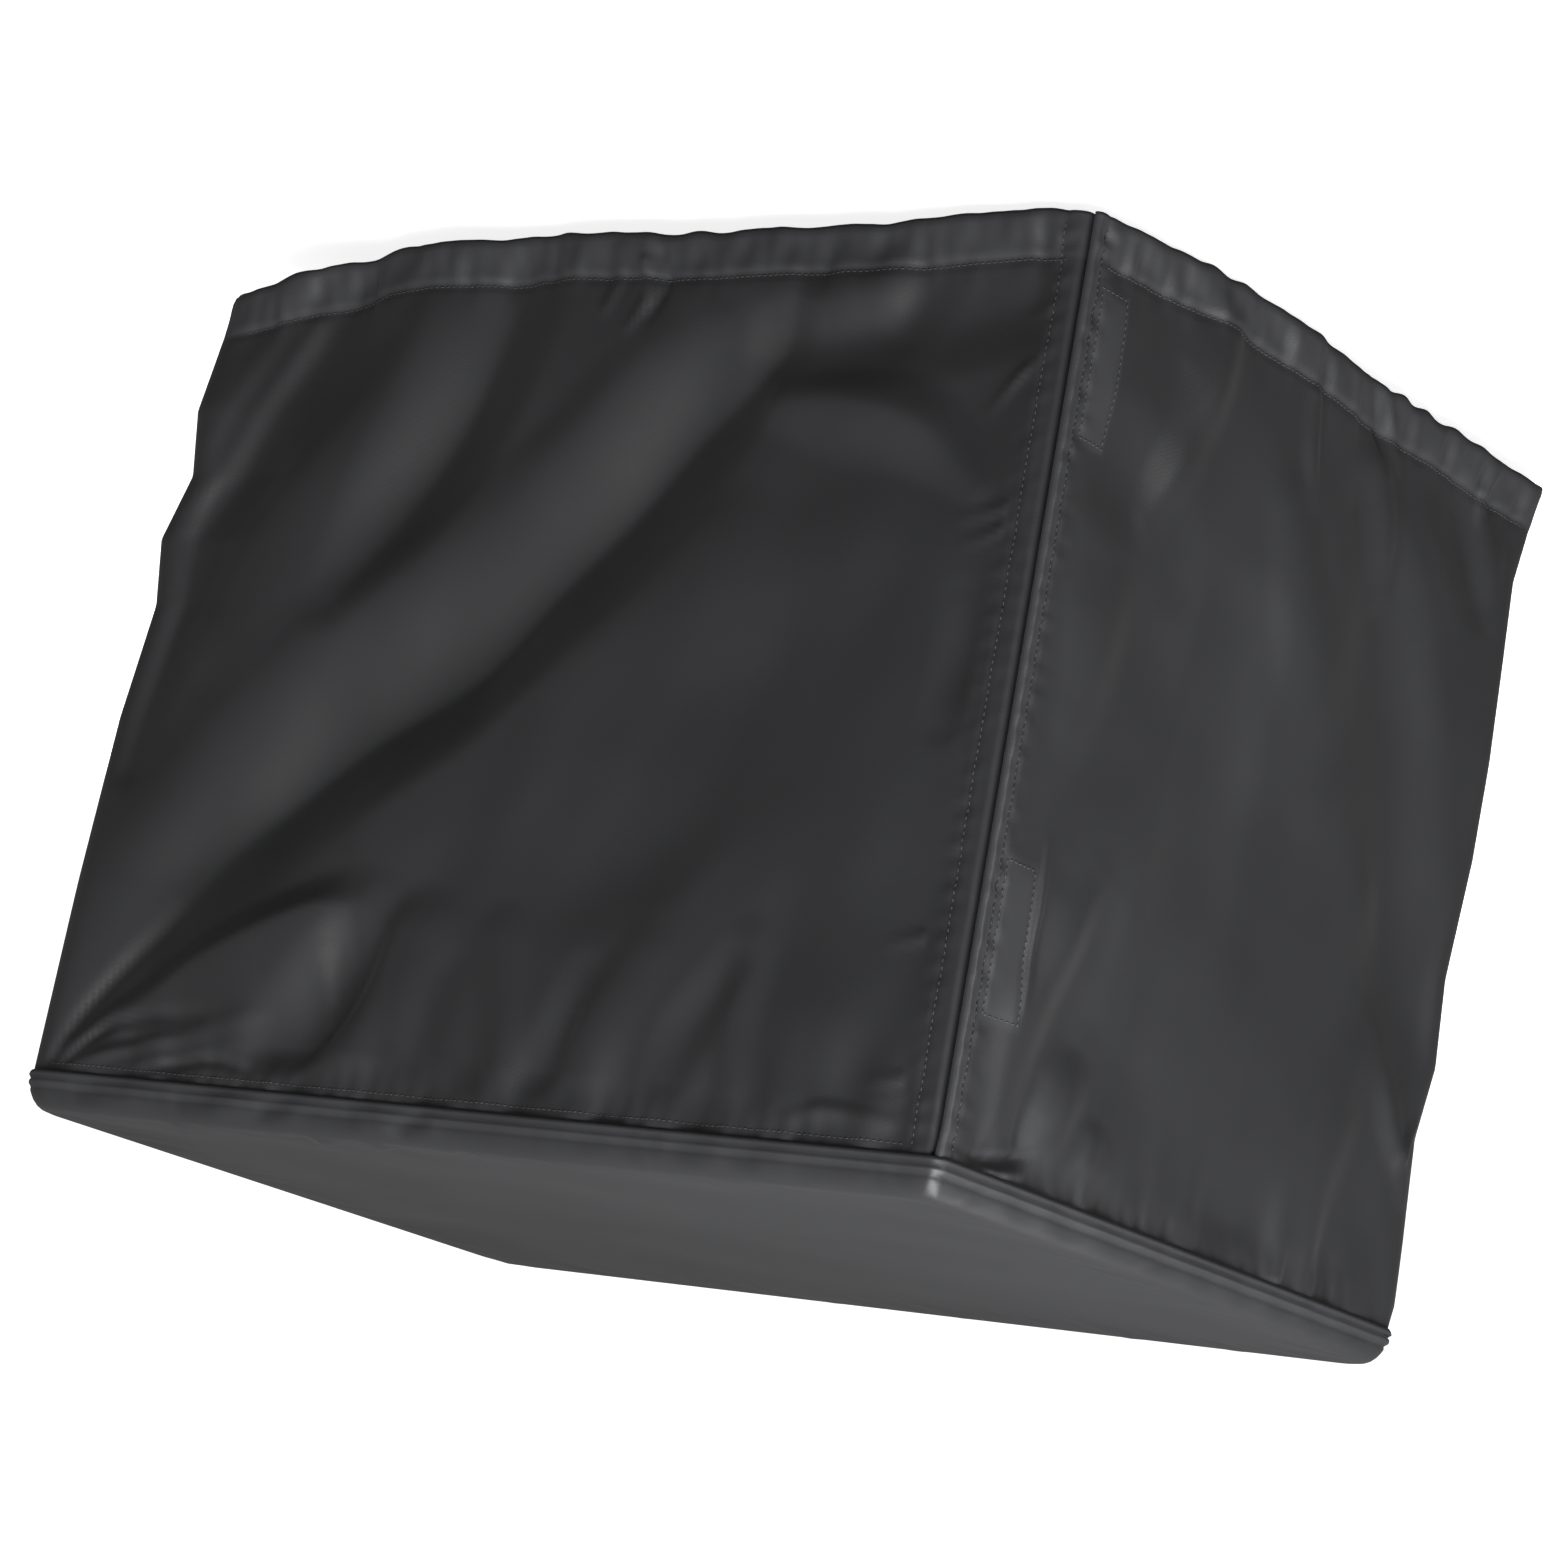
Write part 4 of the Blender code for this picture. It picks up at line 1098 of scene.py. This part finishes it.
def thread_finish(name, colour):
    material = bpy.data.materials.new(name)
    material.use_nodes = True
    tree = material.node_tree
    shader = tree.nodes["Principled BSDF"]
    fuzz = node(tree, "ShaderNodeTexNoise", Scale=900.0, Detail=2.0)
    place = tree.nodes.new("ShaderNodeTexCoord").outputs["Object"]
    tree.links.new(place, fuzz.inputs["Vector"])
    bump = node(tree, "ShaderNodeBump", Strength=0.4, Distance=0.0003)
    tree.links.new(fuzz.outputs["Fac"], bump.inputs["Height"])
    tree.links.new(bump.outputs["Normal"], shader.inputs["Normal"])
    shader.inputs["Base Color"].default_value = colour
    shader.inputs["Roughness"].default_value = 0.7
    return material


# Camera, fitted to the photograph's corners, seams and silhouettes
CAMERA_PLACE = Vector((-2.1323, -2.5505, 0.3744))
CAMERA_AZIMUTH = math.radians(-39.923)
CAMERA_ELEVATION = math.radians(10.874)
CAMERA_ROLL = math.radians(191.647)
SENSOR = 36.0
FOCAL_PIXELS = 5791.8
PHOTO_PIXELS = 1568


def add_camera():
    data = bpy.data.cameras.new("camera")
    data.sensor_width = SENSOR
    data.lens = FOCAL_PIXELS * SENSOR / PHOTO_PIXELS
    data.clip_end = 200.0
    camera = bpy.data.objects.new("camera", data)
    bpy.context.scene.collection.objects.link(camera)
    back = Vector((math.sin(CAMERA_AZIMUTH) * math.cos(CAMERA_ELEVATION),
                   -math.cos(CAMERA_AZIMUTH) * math.cos(CAMERA_ELEVATION),
                   math.sin(CAMERA_ELEVATION)))
    right = (-back).cross(Vector((0, 0, 1))).normalized()
    up = right.cross(-back)
    rolled_right = right * math.cos(CAMERA_ROLL) + up * math.sin(CAMERA_ROLL)
    rolled_up = -right * math.sin(CAMERA_ROLL) + up * math.cos(CAMERA_ROLL)
    turned = Matrix((rolled_right, rolled_up, back)).transposed().to_4x4()
    camera.matrix_world = Matrix.Translation(CAMERA_PLACE) @ turned
    bpy.context.scene.camera = camera


def add_light(name, place, aim, size, power):
    data = bpy.data.lights.new(name, "AREA")
    data.shape = "RECTANGLE"
    data.size, data.size_y = size
    data.energy = power
    light = bpy.data.objects.new(name, data)
    bpy.context.scene.collection.objects.link(light)
    light.location = place
    light.rotation_euler = (Vector(aim) - Vector(place)).to_track_quat("-Z", "Y").to_euler()


FLOOR_HALF = 80.0
FLOOR_DROP = 0.001
FLOOR_COLOUR = (0.90, 0.90, 0.90, 1.0)
FLOOR_GLOW = 0.85
SKY_ABOVE = 0.58
SKY_BELOW = 0.18
SKY_FAR = 0.16
LIT_SIDE = (-0.62, -0.78, 0.0)


def add_floor():
    low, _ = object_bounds()
    corners = [(x, y, low[2] - FLOOR_DROP) for x, y in
               ((-FLOOR_HALF, -FLOOR_HALF), (FLOOR_HALF, -FLOOR_HALF),
                (FLOOR_HALF, FLOOR_HALF), (-FLOOR_HALF, FLOOR_HALF))]
    material = bpy.data.materials.new("floor")
    material.use_nodes = True
    shader = material.node_tree.nodes["Principled BSDF"]
    shader.inputs["Base Color"].default_value = FLOOR_COLOUR
    shader.inputs["Roughness"].default_value = 0.9
    shader.inputs["Specular IOR Level"].default_value = 0.1
    shader.inputs["Emission Color"].default_value = (1.0, 1.0, 1.0, 1.0)
    shader.inputs["Emission Strength"].default_value = FLOOR_GLOW
    floor = mesh_object("floor", corners, [(0, 1, 2, 3)], material)
    floor.visible_diffuse = False
    floor.visible_glossy = False


def add_sky():
    """Soft studio surroundings, brighter above than below and on the lit side."""
    world = bpy.data.worlds.new("studio")
    world.use_nodes = True
    tree = world.node_tree
    background = tree.nodes["Background"]
    place = tree.nodes.new("ShaderNodeTexCoord")
    split = tree.nodes.new("ShaderNodeSeparateXYZ")
    rise = tree.nodes.new("ShaderNodeMapRange")
    background.inputs["Color"].default_value = (1.0, 1.0, 1.0, 1.0)
    rise.inputs["From Min"].default_value = -0.35
    rise.inputs["From Max"].default_value = 0.55
    rise.inputs["To Min"].default_value = SKY_BELOW
    rise.inputs["To Max"].default_value = SKY_ABOVE
    tree.links.new(place.outputs["Generated"], split.inputs["Vector"])
    tree.links.new(split.outputs["Z"], rise.inputs["Value"])
    side = tree.nodes.new("ShaderNodeVectorMath")
    side.operation = "DOT_PRODUCT"
    side.inputs[1].default_value = LIT_SIDE
    share = tree.nodes.new("ShaderNodeMapRange")
    share.inputs["From Min"].default_value = -1.0
    share.inputs["To Min"].default_value = SKY_FAR
    strength = tree.nodes.new("ShaderNodeMath")
    strength.operation = "MULTIPLY"
    tree.links.new(place.outputs["Generated"], side.inputs[0])
    tree.links.new(side.outputs["Value"], share.inputs["Value"])
    tree.links.new(rise.outputs["Result"], strength.inputs[0])
    tree.links.new(share.outputs["Result"], strength.inputs[1])
    tree.links.new(strength.outputs["Value"], background.inputs["Strength"])
    bpy.context.scene.world = world


def finish_tapes():
    """The closure tapes keep their own solids, with a matt hooked face."""
    material = thread_finish("closure_tape", TAPE_COLOUR)
    for name in ("hook_tape_upper", "hook_tape_lower", "loop_tape_upper", "loop_tape_lower"):
        for holder in bpy.data.objects[name].material_slots:
            holder.material = material


def main():
    cloth = {}
    for seed, wall in enumerate(WALL_CORNERS):
        material = coated_cloth(wall + "_finish", CLOTH_DARK, CLOTH_LIGHT)
        cloth[wall] = make_wall(wall, 100 * (seed + 1), material)
    make_top(coated_cloth("top_panel_finish", CLOTH_DARK, CLOTH_LIGHT))
    thread = thread_finish("thread", THREAD_COLOUR)
    front_stitching(cloth["front_wall"], thread)
    left_stitching(cloth["left_wall"], thread)
    finish_tapes()
    add_floor()
    add_sky()
    add_light("key", (-1.30, -1.38, 1.55), (0.0, -0.1, -0.2), (1.8, 1.8), 112.0)
    add_light("side", (-1.35, -0.10, -0.26), (-0.34, 0.0, -0.30), (0.6, 0.48), 3.6)
    add_light("top", (-0.65, -0.05, 0.60), (-0.34, 0.0, 0.0), (0.6, 0.6), 9.0)
    add_light("back", (1.45, 1.50, -0.26), (0.0, 0.1, -0.28), (0.9, 0.48), 9.0)
    add_camera()
    bpy.context.scene.view_settings.view_transform = "Standard"


main()
